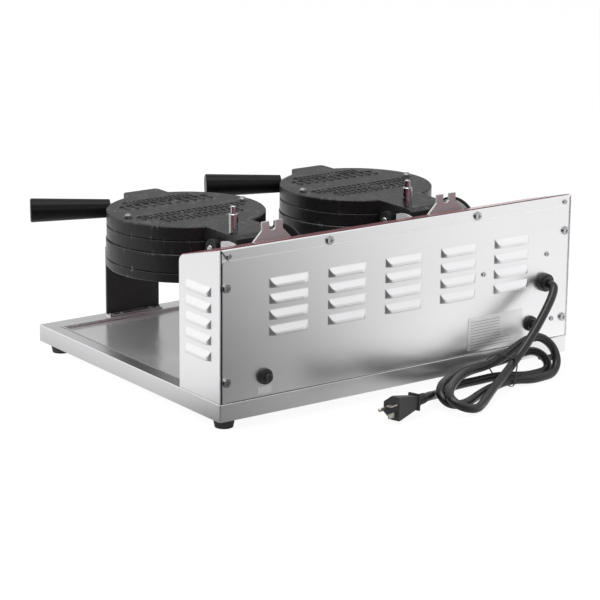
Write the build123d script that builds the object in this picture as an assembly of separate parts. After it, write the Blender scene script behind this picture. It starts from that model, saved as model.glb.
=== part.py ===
from build123d import *
from math import cos, pi, radians, sin, sqrt, tan
import os

# Double Belgian waffle maker: two cast irons on a stainless base, with a control box across the back.
# Millimetres. +X is to the right seen from the front, the user stands at -Y, +Z is up.

# Overall sizes
WIDTH = 560.0
DEPTH = 440.0
FOOT_STAND = 12.0
BASE_HEIGHT = 22.5
SHEET = 1.2
BOX_DEPTH = 90.0
BOX_REAR_HEIGHT = 194.0
BOX_FRONT_HEIGHT = 170.0
BOX_BEND = 10.0
FLOOR = 0.0
DECK = FOOT_STAND + BASE_HEIGHT
REAR = DEPTH / 2
FRONT = -DEPTH / 2
SIDE = WIDTH / 2
BOX_FRONT = REAR - BOX_DEPTH
BOX_TOP_REAR = DECK + BOX_REAR_HEIGHT
BOX_TOP_FRONT = DECK + BOX_FRONT_HEIGHT
FIT_GAP = 0.2
SCREW_GAP = 0.35

# Base pan and tray
BASE_LIP = 34.0
RIM_FRONT = 25.0
RIM_SIDE = 18.0
WELL_TO_BOX = 4.0
WELL_FRONT = FRONT + RIM_FRONT
WELL_REAR = BOX_FRONT - WELL_TO_BOX
WELL_HALF = SIDE - RIM_SIDE
WELL_DEPTH = 4.5
TRAY_GAP = 1.5
TRAY_SHEET = 1.0
TRAY_RISE = 0.5
TRAY_BEAD = 2.2
FOOT_INSET = 18.0
FRONT_FOOT_INSET = 27.0
FOOT_TOP_RADIUS = 14.0
FOOT_BOTTOM_RADIUS = 11.5
FOOT_STUD_RADIUS = 3.0
FOOT_POCKET = (6.0, 4.0)
FOOT_HEAD = (5.2, 2.4)
FOOT_NUT = (5.5, 2.8)
CORNER_RADIUS = 2.2
RIM_ROUND = 1.0

# Rear strip of the top panel
STRIP_HEIGHT = 15.0
STRIP_MITRE = 0.8
STRIP_SCREW_INNER = 118.0
STRIP_SCREW_OUTER = SIDE - 12.5
STRIP_SCREW_Z = BOX_TOP_REAR - 9.0
SIDE_FLANGE = 17.0
SIDE_EDGE = 0.7
PANEL_GAP = 2.2

# Rear panel and its louvres
REAR_PANEL_HALF = SIDE - SHEET - PANEL_GAP
REAR_PANEL_LOW = DECK + 1.0
REAR_PANEL_HIGH = BOX_TOP_REAR - 12.5
LOUVRE_LENGTH = 58.0
LOUVRE_HEIGHT = 12.0
LOUVRE_REACH = 4.2
LOUVRE_LIP = 3.0
LOUVRE_END = 9.0
LOUVRE_CREASE = 4.0
LOUVRE_WALL = 1.0
LOUVRE_WALL_END = 1.6
LOUVRE_WALL_TOP = 2.4
LOUVRE_STEP = 20.2
LOUVRE_TOP = BOX_TOP_REAR - 44.6
LOUVRE_COLUMNS = 5
LOUVRE_ROWS = 4
LOUVRE_PITCH = 89.2
SIDE_LOUVRE_Y = REAR - 47.0
SIDE_LOUVRE_LENGTH = 56.0
SIDE_LOUVRE_TOP = BOX_TOP_REAR - 49.8
SIDE_LOUVRE_ROWS = 5

# Pan head screws
PAN_RADIUS = 5.7
PAN_HEIGHT = 3.0
PAN_SHANK = 1.9
SMALL_PAN_RADIUS = 3.4
SMALL_PAN_HEIGHT = 1.8
SMALL_PAN_SHANK = 1.4
REAR_SCREW_INSET = 9.3
REAR_SCREW_RISE = 27.0
REAR_SCREW_DROP = 48.5
REAR_SCREW_X = SIDE - REAR_SCREW_INSET
REAR_SCREW_LOW = DECK + REAR_SCREW_RISE
REAR_SCREW_HIGH = BOX_TOP_REAR - REAR_SCREW_DROP

# Reset breakers, cord entry and labels on the rear panel
BREAKER_INSET = 65.5
BREAKER_RISE = 26.5
BREAKER_X = SIDE - BREAKER_INSET
BREAKER_Z = DECK + BREAKER_RISE
BREAKER_NUT_RADIUS = 10.5
BREAKER_NUT_LENGTH = 6.0
BREAKER_THREAD = 6.6
BREAKER_BODY = (26.0, 30.0, 30.0)
BUTTON_RADIUS = 5.4
BUTTON_STAND = 7.0
BUTTON_TRAVEL = 2.5
BUTTON_CLEARANCE = 0.08
RELIEF_INSET = 44.0
RELIEF_X = RELIEF_INSET - SIDE
RELIEF_Z = DECK + 80.0
RELIEF_FLANGE_RADIUS = 12.5
RELIEF_LENGTH = 11.0
RELIEF_CAP = 7.0
RELIEF_NECK_RADIUS = 10.4
RELIEF_INSIDE = 13.0
RELIEF_NUT = (14.0, 5.0)
LABEL_THICK = 0.5
RATING_GAP = 14.5
RATING_LENGTH = 92.0
RATING_HEIGHT = 44.0
RATING_RISE = 5.0
RESET_LABEL_SIZE = (20.0, 9.0)
RESET_LABEL_DROP = 17.5
TERMINAL_SPOT = (-132.0, DECK + 105.0)
RELAY_SPOT = (40.0 - SIDE, DECK + 117.5)
GROUND_SPOT = (28.0 - SIDE, DECK + 27.5)
SMALL_SCREWS = (TERMINAL_SPOT, RELAY_SPOT, GROUND_SPOT)
TERMINAL_SIZE = (56.0, 24.0, 22.0)
RELAY_SIZE = (34.0, 26.0, 26.0)

# Irons
IRON_X = 140.0
IRON_Y = -68.7
IRON_RADIUS = 105.4
LOWER_EXTRA = 1.0
IRON_STAND = 97.8
LOWER_COVER_DEPTH = 12.7
LOWER_PLATE_DEPTH = 25.1
UPPER_PLATE_DEPTH = 17.9
UPPER_COVER_DEPTH = 18.7
LOWER_BOTTOM = DECK + IRON_STAND
LOWER_SEAM = LOWER_BOTTOM + LOWER_COVER_DEPTH
PARTING = LOWER_SEAM + LOWER_PLATE_DEPTH
UPPER_STEP = PARTING + UPPER_PLATE_DEPTH
UPPER_TOP = UPPER_STEP + UPPER_COVER_DEPTH
RIM_CHAMFER = 1.4
GRID_RADIUS = 89.0
GRID_PITCH = 22.0
PEG_BASE = 15.0
PEG_TAPER = 9.0
PEG_HEIGHT = 9.0
UPPER_POCKET = 11.0
LOWER_POCKET = 13.0
COVER_WALL = 9.4
COVER_CAVITY_RADIUS = IRON_RADIUS - COVER_WALL
COVER_ROOF = 6.5
LOWER_ROOF = 3.5
ELEMENT_RADIUS = 3.6
ELEMENT_JOINT = 4.2
ELEMENT_RINGS = (72.0, 42.0)
ELEMENT_BRIDGE = 9.0
ELEMENT_TAIL = 14.0
ELEMENT_GAP = 0.4
COVER_BOLT_X = 90.0
COVER_BOLT_HEAD = (5.0, 2.4)
COVER_BOLT_WASHER = (6.4, 0.9)
COVER_BOLT_SHANK = 2.6
COVER_SCREW_X = 60.0
COVER_SCREW_Y = IRON_Y + 20.0
# Raised bars on the cover: bars in each row, and the row's centre, bar depth, step and bar width
BAR_RISE = 1.3
BAR_SINK = 0.2
BAR_COUNTS = (15, 11, 19, 13)
BAR_ROWS = ((-66.0, 9.0, 7.0, 2.6), (-44.0, 15.0, 13.0, 3.4), (16.0, 11.0, 8.5, 2.8), (42.0, 13.0, 9.5, 3.0))
BAR_LINE_GAP = 2.6
BAR_LINE_WIDTH = 1.6
BAR_LINE_END = 5.0
# Flat tab at the front of the cover: its reach past the rim and the half widths of its corners
TAB_REACH = 21.7
TAB_DEPTH = 9.0
TAB_FRONT = IRON_Y - IRON_RADIUS - TAB_REACH
TAB_CORNER = 3.8
TAB_ROOT = IRON_Y - 81.3
TAB_LEFT = (-34.6, -31.0)
TAB_RIGHT = (16.0, 20.9, 30.0)

# Hinge
AXIS_Y = 60.0
AXIS_RISE = 14.4
AXIS_Z = PARTING + AXIS_RISE
PIN_RADIUS = 5.0
PIN_CLEARANCE = 0.06
PIN_HEAD = (5.4, 3.0)
PIN_CLIP = (7.6, 1.2)
LUG_HALF = 35.5
LUG_TOP_REAR = 93.0
LUG_REAR = 104.0
LUG_DROP = 10.0
EAR_INNER = 37.5
EAR_THICK = 9.0
EAR_RADIUS = 13.0
EAR_ARM_TOP = PARTING - 2.1
EAR_ARM_REAR = 73.0
STOP_FACE_Y = 46.2
STOP_TOP = PARTING - 7.6
WASHER_RADIUS = 11.5
WASHER_SIDE_GAP = 0.15
BRACKET_SHEET = 3.0
BRACKET_HALF = EAR_INNER + EAR_THICK + BRACKET_SHEET
BRACKET_LOW = LOWER_BOTTOM - 21.8
HORN_TOP = AXIS_Z + 44.5
HORN_HALF = 15.9
NOTCH_HALF = 5.0
NOTCH_FLOOR = HORN_TOP - 11.8
NOTCH_CORNER = 2.5
SHOULDER_TOP = HORN_TOP - 11.0
PLUS_CHEEK_TOP = AXIS_Z + 18.5
PLUS_CHEEK_PEAK_Y = 105.0
PLUS_CHEEK_FRONT = 87.0
MINUS_CHEEK_TOP = AXIS_Z + 27.0
MINUS_CHEEK_PEAK_Y = 92.0
CHEEK_ARC = 55.0
CHEEK_FRONT = 46.0
CHEEK_EYE = 14.0
CHEEK_LOW = 4.0
CHEEK_STEP = 22.0
CHEEK_HEEL = 10.0
POST_X = 25.4
POST_Y = 79.0
POST_RADIUS = 6.5
POST_BODY = 25.4
POST_TIP_RADIUS = 3.7
POST_TIP = 10.0
POST_STUD = (4.0, 12.0)
POST_GROOVE = 12.0

# Handle: a grip on a stud that leaves the rim of the upper cover
GRIP_BEARING = radians(28.504298)
GRIP_FROM_RIM = 10.89742
GRIP_REACH = (95.0, -48.0)
GRIP_START = ((IRON_RADIUS + GRIP_FROM_RIM) * sin(GRIP_BEARING),
              IRON_Y - (IRON_RADIUS + GRIP_FROM_RIM) * cos(GRIP_BEARING))
GRIP_END = (GRIP_START[0] + GRIP_REACH[0], GRIP_START[1] + GRIP_REACH[1])
GRIP_Z = UPPER_STEP + 6.5
GRIP_ROOT_RADIUS = 12.4
GRIP_TIP_RADIUS = 16.2
STUD_RADIUS = 4.0
STUD_LENGTH = 88.0
STUD_COLLAR = (7.0, 5.0)
BOSS_RADIUS = 6.2
BOSS_LENGTH = 18.0

# Support leg
LEG_HALF = 42.0
LEG_BACK = -204.0
LEG_SHEET = 3.0
LEG_FOOT_REAR = -195.5
LEG_TOP_REAR = -150.0
LEG_SCREW_X = (-37.0, -22.0, 22.0, 37.0)
LEG_SCREW_HEAD = (3.9, 2.2)

# Heater leads
CONDUIT_X = 0.0
CONDUIT_RADIUS = 3.2
CONDUIT_GAP = 0.25
CONDUIT_START = 24.0
CONDUIT_STRAIGHT = 40.0
CONDUIT_LEVEL = 56.0
CONDUIT_BEND = 9.0
CONDUIT_Z = LOWER_BOTTOM + 7.0
CONDUIT_BOX_Z = LOWER_BOTTOM - 1.8
LEAD_X = -62.0
LEAD_Z = AXIS_Z - 20.0
LEAD_RADIUS = 3.6

# Controls on the front of the box
FASCIA_SHEET = 0.8
TIMER_X = 52.0
CONTROL_Z = DECK + 122.0
KNOB_RADIUS = 19.0
KNOB_LENGTH = 17.0
KNOB_GAP = 0.6
TIMER_BODY = (21.0, 36.0)
TIMER_NECK = 4.6
TIMER_SHAFT = (3.0, 12.0)
SWITCH_X = 22.0
SWITCH_HALF = (7.6, 11.0)
LAMP_Z = DECK + 150.0
LAMP_RADIUS = 5.0
ROCKER_SINK = 4.0
ROCKER_TILT = 9.0
ROCKER_GAP = 1.4

# Power cord: heights in the route are above the deck, REST is the cord lying on the floor
CORD_RADIUS = 5.7
REST = FLOOR - DECK + CORD_RADIUS + 0.2
TIED = REST + 2.5
LEAD_ROUTE = [
    (-236, 231, 80), (-236, 239, 80), (-232, 246, 76), (-222, 252, 66), (-209, 256.5, 53), (-194, 261, 39),
    (-178, 265.5, 25), (-161, 270, 12), (-144, 274.5, 1), (-128, 280, -8), (-110, 287, -15)]
# The bow: left loop, right loop, second left loop, second right loop, then the tail to the plug
BOW_ROUTE = [
    (-88, 298, -21), (-66, 312, -26), (-46, 326, REST), (-27, 339, -27.5), (-9, 340.5, -23.5),
    (1.5, 331, -18), (0, 316, -12.5), (-13.5, 301, -9.5), (-30, 287, -9), (-49, 272, -9), (-69, 259, -9.5),
    (-90, 251, -9.5), (-110, 250, -9), (-130, 249, -6), (-150, 248, 0), (-169, 246, 8), (-189, 245, 14.5),
    (-210, 245, 16), (-225.6, 253.5, 3), (-225.6, 265.5, -15.6), (-211, 274, REST), (-190, 278, REST),
    (-168, 279, REST), (-148, 275, TIED), (-127, 273, TIED), (-104, 277, REST), (-81, 286, REST),
    (-59, 297.5, REST), (-38, 308.5, REST), (-21, 312, REST), (-7.5, 307.5, -26), (-4, 297, -20),
    (-9.5, 286, -14), (-22.5, 274.5, -11), (-38, 263, -12), (-54, 251.5, -13.5), (-73, 242, -14.5),
    (-92, 236, -14.5), (-112, 234.5, -14), (-132, 234, -13), (-152, 233, -12.5), (-172, 232, -11),
    (-192, 232, -7.5), (-212, 232.5, -7.5), (-222, 240, -14), (-222, 251, -22.5), (-212, 258.8, REST),
    (-194, 262, REST), (-172, 262, REST), (-152, 257, TIED), (-132, 248, TIED), (-108, 243.5, REST),
    (-84, 243, REST), (-62, 245.5, REST), (-43, 251.5, REST), (-27.5, 261.5, -27.5), (-13, 271.5, -24.5),
    (-0.5, 281, -20.5), (10, 288.5, -17.5), (21.5, 292.3, -17)]
# How far the cord moves to start at the end of its bushing
CORD_SHIFT = (RELIEF_X - LEAD_ROUTE[0][0], REAR + RELIEF_LENGTH - LEAD_ROUTE[0][1])
TIE_X = -138.0
TIE_CORES = ((278.0, -3.0), (249.0, -3.6), (234.0, -12.7), (251.0, TIED), (274.0, TIED))
TIE_INNER = 7.3
TIE_THICK = 0.9
PLUG_RELIEF = 20.0
PLUG_SLEEVE = (6.6, 7.6)
PLUG_RIBS = 4
PLUG_RIB_STEP = 4.2
PLUG_RIB_CORE = 5.4
PLUG_COLLAR = (17.0, 21.0, 3.0)
# Half sections of the plug as (x, y) corners, x towards the blades: at the collar and at the face
PLUG_SMALL = ((6.5, 8.0), (-3.0, 8.0), (-7.5, 3.5))
PLUG_LARGE = ((7.6, 15.0), (-5.0, 15.0), (-16.0, 6.5))
PLUG_FLARE = 40.0
PLUG_FACE = 3.5
BLADE_SPACING = 12.7
BLADE_X = 2.8
BLADE_SECTION = (6.3, 1.5)
BLADE_LENGTH = 17.0
BLADE_ROOT = 6.0
BLADE_HOLE = (1.6, 4.5)
GROUND_X = -9.1
GROUND_RADIUS = 2.35
GROUND_LENGTH = 20.0

X_AXIS = (1, 0, 0)
Y_AXIS = (0, 1, 0)
Z_AXIS = (0, 0, 1)
solids = {}


def block(x0, x1, y0, y1, z0, z1):
    """A box between two corners."""
    return Pos((x0 + x1) / 2, (y0 + y1) / 2, (z0 + z1) / 2) * Box(x1 - x0, y1 - y0, z1 - z0)


def rod(start, direction, radius, length, tip=None):
    """A round bar, or a cone where a tip radius is given, from a point along a direction."""
    place = Plane(origin=start, z_dir=direction)
    lift = (Align.CENTER, Align.CENTER, Align.MIN)
    if tip is None:
        return place * Cylinder(radius, length, align=lift)
    return place * Cone(radius, tip, length, align=lift)


def prism_x(points, x0, x1, rounds=()):
    """A profile of (y, z) points drawn out along X, with some corners rounded."""
    face = make_face(Polyline(*[(0, y, z) for y, z in points], close=True))
    for (y, z), radius in rounds:
        corner = face.vertices().sort_by_distance((0, y, z))[0]
        face = fillet_face(face, corner, radius)
    return Pos(x0, 0, 0) * extrude(face, amount=x1 - x0, dir=(1, 0, 0))


def fillet_face(face, corner, radius):
    """Round one corner of a flat face."""
    return face.face().fillet_2d(radius, [corner])


def prism_y(points, y0, y1):
    """A profile of (x, z) points drawn out along Y."""
    face = make_face(Polyline(*[(x, y0, z) for x, z in points], close=True))
    return extrude(face, amount=y1 - y0, dir=(0, 1, 0))


def prism_z(points, z0, z1):
    """A profile of (x, y) points drawn out along Z."""
    face = make_face(Polyline(*[(x, y, z0) for x, y in points], close=True))
    return extrude(face, amount=z1 - z0, dir=(0, 0, 1))


def pan_screw(spot, out, radius, height, shank, length):
    """A pan head screw with a cross recess; spot is under the head and out points away from the panel."""
    back = tuple(-c for c in out)
    dome = rod(spot, out, radius, height * 0.55)
    dome += rod(spot, out, radius * 0.86, height)
    dome += rod(spot, back, shank, length)
    place = Plane(origin=spot, z_dir=out)
    for turn in (0, 90):
        slot = Rot(0, 0, turn) * Box(radius * 1.0, radius * 0.24, height)
        dome -= place * (Pos(0, 0, height * 1.05) * slot)
    return dome


def keep(name, *shapes):
    """Store one node: a solid, or a group of separate solids."""
    found = []
    for shape in shapes:
        found += list(shape.solids())
    solids[name] = found


def top_line(y):
    """Height of the sloping top of the box at a depth y."""
    return BOX_TOP_FRONT + (y - BOX_FRONT) * (BOX_TOP_REAR - BOX_TOP_FRONT) / BOX_DEPTH


# Base pan: one sheet with a rolled skirt, a lip turned in below for the feet and a shallow well for the tray
def base_pan():
    outer = block(-SIDE, SIDE, FRONT, REAR, FOOT_STAND, DECK)
    upright = outer.edges().filter_by(Axis.Z)
    outer = fillet(upright, CORNER_RADIUS)
    outer = fillet(outer.faces().sort_by(Axis.Z)[-1].edges(), RIM_ROUND)
    inner = block(-SIDE + SHEET, SIDE - SHEET, FRONT + SHEET, REAR - SHEET, FOOT_STAND + SHEET, DECK - SHEET)
    mouth = block(-SIDE + BASE_LIP, SIDE - BASE_LIP, FRONT + BASE_LIP, REAR - BASE_LIP,
                  FOOT_STAND - 1, FOOT_STAND + 2 * SHEET)
    pan = outer - inner - mouth
    well_out = block(-WELL_HALF - SHEET, WELL_HALF + SHEET, WELL_FRONT - SHEET, WELL_REAR + SHEET,
                     DECK - WELL_DEPTH - SHEET, DECK)
    well_in = block(-WELL_HALF, WELL_HALF, WELL_FRONT, WELL_REAR, DECK - WELL_DEPTH, DECK + 1)
    pan = pan + well_out - well_in
    for x in (-1, 1):
        for y in (-1, 1):
            pan -= rod((x * (SIDE - FOOT_INSET), foot_y(y), FOOT_STAND - 1), Z_AXIS, FOOT_STUD_RADIUS + SCREW_GAP, SHEET + 2)
    for iron in (-IRON_X, IRON_X):
        for x in LEG_SCREW_X:
            pan -= rod((iron + x, leg_screw_y(), DECK - SHEET - 1), Z_AXIS, PAN_SHANK + SCREW_GAP, SHEET + 2)
    keep("base_pan", pan)


def foot_y(end):
    return REAR - FOOT_INSET if end > 0 else FRONT + FRONT_FOOT_INSET


def leg_screw_y():
    return (LEG_BACK + LEG_FOOT_REAR) / 2


# Rubber feet, each held by a screw through the lip
def feet():
    pads = []
    screws = []
    for x in (-1, 1):
        for y in (-1, 1):
            cx = x * (SIDE - FOOT_INSET)
            cy = foot_y(y)
            pad = rod((cx, cy, FLOOR), Z_AXIS, FOOT_BOTTOM_RADIUS, FOOT_STAND, FOOT_TOP_RADIUS)
            pad -= rod((cx, cy, FLOOR - 1), Z_AXIS, FOOT_POCKET[0], FOOT_POCKET[1] + 1)
            pad -= rod((cx, cy, FLOOR), Z_AXIS, FOOT_STUD_RADIUS + SCREW_GAP, FOOT_STAND + 1)
            pads.append(pad)
            screw = rod((cx, cy, FLOOR + FOOT_POCKET[1]), (0, 0, -1), *FOOT_HEAD)
            screw += rod((cx, cy, FLOOR + FOOT_POCKET[1]), Z_AXIS, FOOT_STUD_RADIUS, FOOT_STAND + 1.6)
            nut_spot = (cx, cy, FOOT_STAND + SHEET)
            nut = rod(nut_spot, Z_AXIS, *FOOT_NUT) - rod(nut_spot, Z_AXIS, FOOT_STUD_RADIUS + SCREW_GAP, 3)
            screws.append(screw)
            screws.append(nut)
    keep("foot_pads", *pads)
    keep("foot_screws", *screws)


# Drip tray that sits loose in the well, with an upright edge rolled over at the top
def drip_tray():
    half = WELL_HALF - TRAY_GAP
    y0 = WELL_FRONT + TRAY_GAP
    y1 = WELL_REAR - TRAY_GAP
    low = DECK - WELL_DEPTH
    high = DECK + TRAY_RISE
    tray = block(-half, half, y0, y1, low, high)
    tray -= block(-half + TRAY_SHEET, half - TRAY_SHEET, y0 + TRAY_SHEET, y1 - TRAY_SHEET,
                  low + TRAY_SHEET, high + 1)
    rim = block(-half, half, y0, y1, high - TRAY_SHEET, high)
    rim -= block(-half + TRAY_BEAD, half - TRAY_BEAD, y0 + TRAY_BEAD, y1 - TRAY_BEAD,
                 high - 2 * TRAY_SHEET, high + 1)
    keep("drip_tray", tray + rim)


# Louvre: a pressed hood that runs out in a curve at both ends, open below
def louvre(length):
    lip = LOUVRE_LIP - LOUVRE_HEIGHT
    crease = (LOUVRE_REACH, lip)
    low = -2 * SHEET
    outer = [(0, 0), crease, (LOUVRE_REACH, -LOUVRE_HEIGHT), (0, -LOUVRE_HEIGHT)]
    deep = LOUVRE_REACH - LOUVRE_WALL
    inner = [(low, -LOUVRE_WALL_TOP), (0, -LOUVRE_WALL_TOP), (deep, lip),
             (deep, -LOUVRE_HEIGHT - 1), (low, -LOUVRE_HEIGHT - 1)]
    hood = prism_x(outer, -length / 2, length / 2, [(crease, LOUVRE_CREASE)])
    hood = hood & pillow(length, LOUVRE_REACH, LOUVRE_END, 0)
    hollow = prism_x(inner, -length / 2, length / 2)
    hollow -= block(-length, length, low - 1, 0.0, -LOUVRE_HEIGHT - 2, -LOUVRE_HEIGHT)
    hollow = hollow & pillow(length - 2 * LOUVRE_WALL_END, deep, LOUVRE_END - LOUVRE_WALL_END, low)
    return hood, hollow


# Tall prism whose plan is flat in front and curves back to the sheet at both ends
def pillow(length, reach, end, low):
    x = length / 2
    z = -LOUVRE_HEIGHT - 2
    front = Line((-x + end, reach, z), (x - end, reach, z))
    right = TangentArc((x - end, reach, z), (x, 0, z), tangent=(1, 0, 0))
    left = TangentArc((-x + end, reach, z), (-x, 0, z), tangent=(-1, 0, 0))
    sides = [front, right, left]
    if low < 0:
        sides.append(Polyline((-x, 0, z), (-x, low, z), (x, low, z), (x, 0, z)))
    else:
        sides.append(Line((-x, 0, z), (x, 0, z)))
    return extrude(make_face(Curve() + sides), amount=LOUVRE_HEIGHT + 4, dir=(0, 0, 1))


def add_louvres(panel, spots, length, turn):
    hood, hollow = louvre(length)
    hoods = [Pos(*spot) * (Rot(0, 0, turn) * hood) for spot in spots]
    hollows = [Pos(*spot) * (Rot(0, 0, turn) * hollow) for spot in spots]
    return panel + hoods - hollows


# Side panels, with a flange turned in behind the rear panel
def side_panels():
    face = [(REAR, DECK), (REAR, BOX_TOP_REAR - 0.4), (BOX_FRONT, BOX_TOP_FRONT - 0.4), (BOX_FRONT, DECK)]
    front_top = (BOX_FRONT, BOX_TOP_FRONT - 0.4)
    for name, sign in (("side_panel_right", 1), ("side_panel_left", -1)):
        x0, x1 = sorted((sign * (SIDE - SHEET), sign * SIDE))
        panel = prism_x(face, x0, x1, [(front_top, BOX_BEND)])
        foot = panel.edges().filter_by(Axis.Y).sort_by_distance((sign * SIDE, (REAR + BOX_FRONT) / 2, DECK))[0]
        panel = chamfer(foot, SIDE_EDGE)
        f0, f1 = sorted((sign * (SIDE - SHEET - SIDE_FLANGE), sign * (SIDE - SHEET)))
        panel += block(f0, f1, REAR - 2 * SHEET, REAR - SHEET, DECK, BOX_TOP_REAR - 3.0)
        panel += block(f0, f1, BOX_FRONT + 3, REAR - 3 * SHEET, DECK, DECK + SHEET)
        if sign > 0:
            spots = [(SIDE, SIDE_LOUVRE_Y, SIDE_LOUVRE_TOP - i * LOUVRE_STEP) for i in range(SIDE_LOUVRE_ROWS)]
            turn = -90
        else:
            spots = [(-SIDE, SIDE_LOUVRE_Y, SIDE_LOUVRE_TOP - i * LOUVRE_STEP) for i in range(SIDE_LOUVRE_ROWS)]
            turn = 90
        panel = add_louvres(panel, spots, SIDE_LOUVRE_LENGTH, turn)
        for z in (REAR_SCREW_LOW, REAR_SCREW_HIGH):
            panel -= rod((sign * REAR_SCREW_X, REAR, z), (0, -1, 0), PAN_SHANK + SCREW_GAP, 6)
        panel -= rod((sign * STRIP_SCREW_OUTER, REAR, STRIP_SCREW_Z), (0, -1, 0), SMALL_PAN_SHANK + SCREW_GAP, 6)
        keep(name, panel)


# Rear panel with louvres and the holes for cord, breakers and screws
def rear_panel():
    panel = block(-REAR_PANEL_HALF, REAR_PANEL_HALF, REAR - SHEET, REAR, REAR_PANEL_LOW, REAR_PANEL_HIGH)
    corners = panel.edges().filter_by(Axis.Y).group_by(Axis.Z)[-1]
    panel = fillet(corners, 8.0)
    spots = []
    for column in range(LOUVRE_COLUMNS):
        for row in range(LOUVRE_ROWS):
            x = (column - (LOUVRE_COLUMNS - 1) / 2) * LOUVRE_PITCH
            spots.append((x, REAR, LOUVRE_TOP - row * LOUVRE_STEP))
    panel = add_louvres(panel, spots, LOUVRE_LENGTH, 0)
    inward = (0, -1, 0)
    for x in (-BREAKER_X, BREAKER_X):
        panel -= rod((x, REAR + 1, BREAKER_Z), inward, BREAKER_THREAD + SCREW_GAP, 3)
    panel -= rod((RELIEF_X, REAR + 1, RELIEF_Z), inward, RELIEF_NECK_RADIUS + SCREW_GAP, 3)
    for x in (-REAR_SCREW_X, REAR_SCREW_X):
        for z in (REAR_SCREW_LOW, REAR_SCREW_HIGH):
            panel -= rod((x, REAR + 1, z), inward, PAN_SHANK + SCREW_GAP, 3)
    for x in (-STRIP_SCREW_INNER, STRIP_SCREW_INNER):
        panel -= rod((x, REAR + 1, STRIP_SCREW_Z), inward, PAN_SHANK + SCREW_GAP, 3)
    for x, z in SMALL_SCREWS:
        panel -= rod((x, REAR + 1, z), inward, SMALL_PAN_SHANK + SCREW_GAP, 3)
    keep("rear_panel", panel)


# Top panel: rear strip, sloping top, bend and front face in one sheet
def top_panel():
    half = SIDE - SHEET - FIT_GAP
    outer = [(REAR + SHEET, DECK), (REAR + SHEET, BOX_TOP_REAR), (BOX_FRONT, BOX_TOP_FRONT), (BOX_FRONT, DECK)]
    inner = [(REAR, DECK - 1), (REAR, BOX_TOP_REAR - SHEET * 1.3), (BOX_FRONT + SHEET, BOX_TOP_FRONT - SHEET * 1.25),
             (BOX_FRONT + SHEET, DECK - 1)]
    shell = prism_x(outer, -half, half, [(outer[1], 1.6), (outer[2], BOX_BEND)])
    shell -= prism_x(inner, -half - 1, half + 1, [(inner[2], BOX_BEND - SHEET)])
    shell -= block(-half - 1, half + 1, REAR - 1, REAR + 2 * SHEET, DECK - 1, BOX_TOP_REAR - STRIP_HEIGHT)
    for sign in (-1, 1):
        edge = sign * (half + 1)
        tri = [(edge, BOX_TOP_REAR + 1), (edge, BOX_TOP_REAR - STRIP_HEIGHT - 2),
               (edge - sign * STRIP_MITRE * (STRIP_HEIGHT + 3), BOX_TOP_REAR - STRIP_HEIGHT - 2)]
        shell -= prism_y(tri, REAR - 0.5, REAR + 2 * SHEET)
    for x in (-STRIP_SCREW_INNER, STRIP_SCREW_INNER):
        shell -= rod((x, REAR + 3, STRIP_SCREW_Z), (0, -1, 0), PAN_SHANK + SCREW_GAP, 5)
    for x in (-STRIP_SCREW_OUTER, STRIP_SCREW_OUTER):
        shell -= rod((x, REAR + 3, STRIP_SCREW_Z), (0, -1, 0), SMALL_PAN_SHANK + SCREW_GAP, 5)
    shell = cut_controls(shell)
    for iron in (-IRON_X, IRON_X):
        for x, z in bracket_screws():
            shell -= rod((iron + x, BOX_FRONT - 2, z), Y_AXIS, PAN_SHANK + SCREW_GAP, 6)
        shell -= rod((iron + CONDUIT_X, BOX_FRONT - 2, CONDUIT_BOX_Z), Y_AXIS, CONDUIT_RADIUS + SCREW_GAP, 6)
        shell -= rod((iron + LEAD_X, BOX_FRONT - 2, LEAD_Z), Y_AXIS, LEAD_RADIUS + SCREW_GAP, 6)
    keep("top_panel", shell)


# Burgundy fascia laid over the sloping top and the front face
def fascia():
    half = SIDE - SHEET - FIT_GAP
    outer = [(REAR - 3, DECK + 3), (REAR - 3, top_line(REAR - 3)), (BOX_FRONT, BOX_TOP_FRONT), (BOX_FRONT, DECK + 3)]
    grown = [(REAR - 3, DECK + 3), (REAR - 3, top_line(REAR - 3) + FASCIA_SHEET * 1.03),
             (BOX_FRONT - FASCIA_SHEET, BOX_TOP_FRONT + FASCIA_SHEET * 0.77), (BOX_FRONT - FASCIA_SHEET, DECK + 3)]
    skin = prism_x(grown, -half, half, [(grown[2], BOX_BEND + FASCIA_SHEET)])
    skin -= prism_x(outer, -half - 1, half + 1, [(outer[2], BOX_BEND)])
    skin = cut_controls(skin)
    for iron in (-IRON_X, IRON_X):
        reach = BRACKET_HALF + 1.0
        skin -= block(iron - reach, iron + reach, BOX_FRONT - 2, BOX_FRONT + 0.05, BRACKET_LOW - 1, HORN_TOP)
        skin -= rod((iron + LEAD_X, BOX_FRONT - 2, LEAD_Z), Y_AXIS, LEAD_RADIUS + SCREW_GAP, 6)
    keep("fascia", skin)


def cut_controls(sheet):
    """Openings for timers, switches and lamps in the front face."""
    for sign in (-1, 1):
        sheet -= rod((sign * TIMER_X, BOX_FRONT - 3, CONTROL_Z), Y_AXIS, TIMER_NECK + SCREW_GAP, 8)
        w, h = SWITCH_HALF
        sheet -= block(sign * SWITCH_X - w, sign * SWITCH_X + w, BOX_FRONT - 3, BOX_FRONT + 5,
                       CONTROL_Z - h, CONTROL_Z + h)
        sheet -= rod((sign * SWITCH_X, BOX_FRONT - 3, LAMP_Z), Y_AXIS, LAMP_RADIUS + SCREW_GAP, 8)
    return sheet


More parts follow.
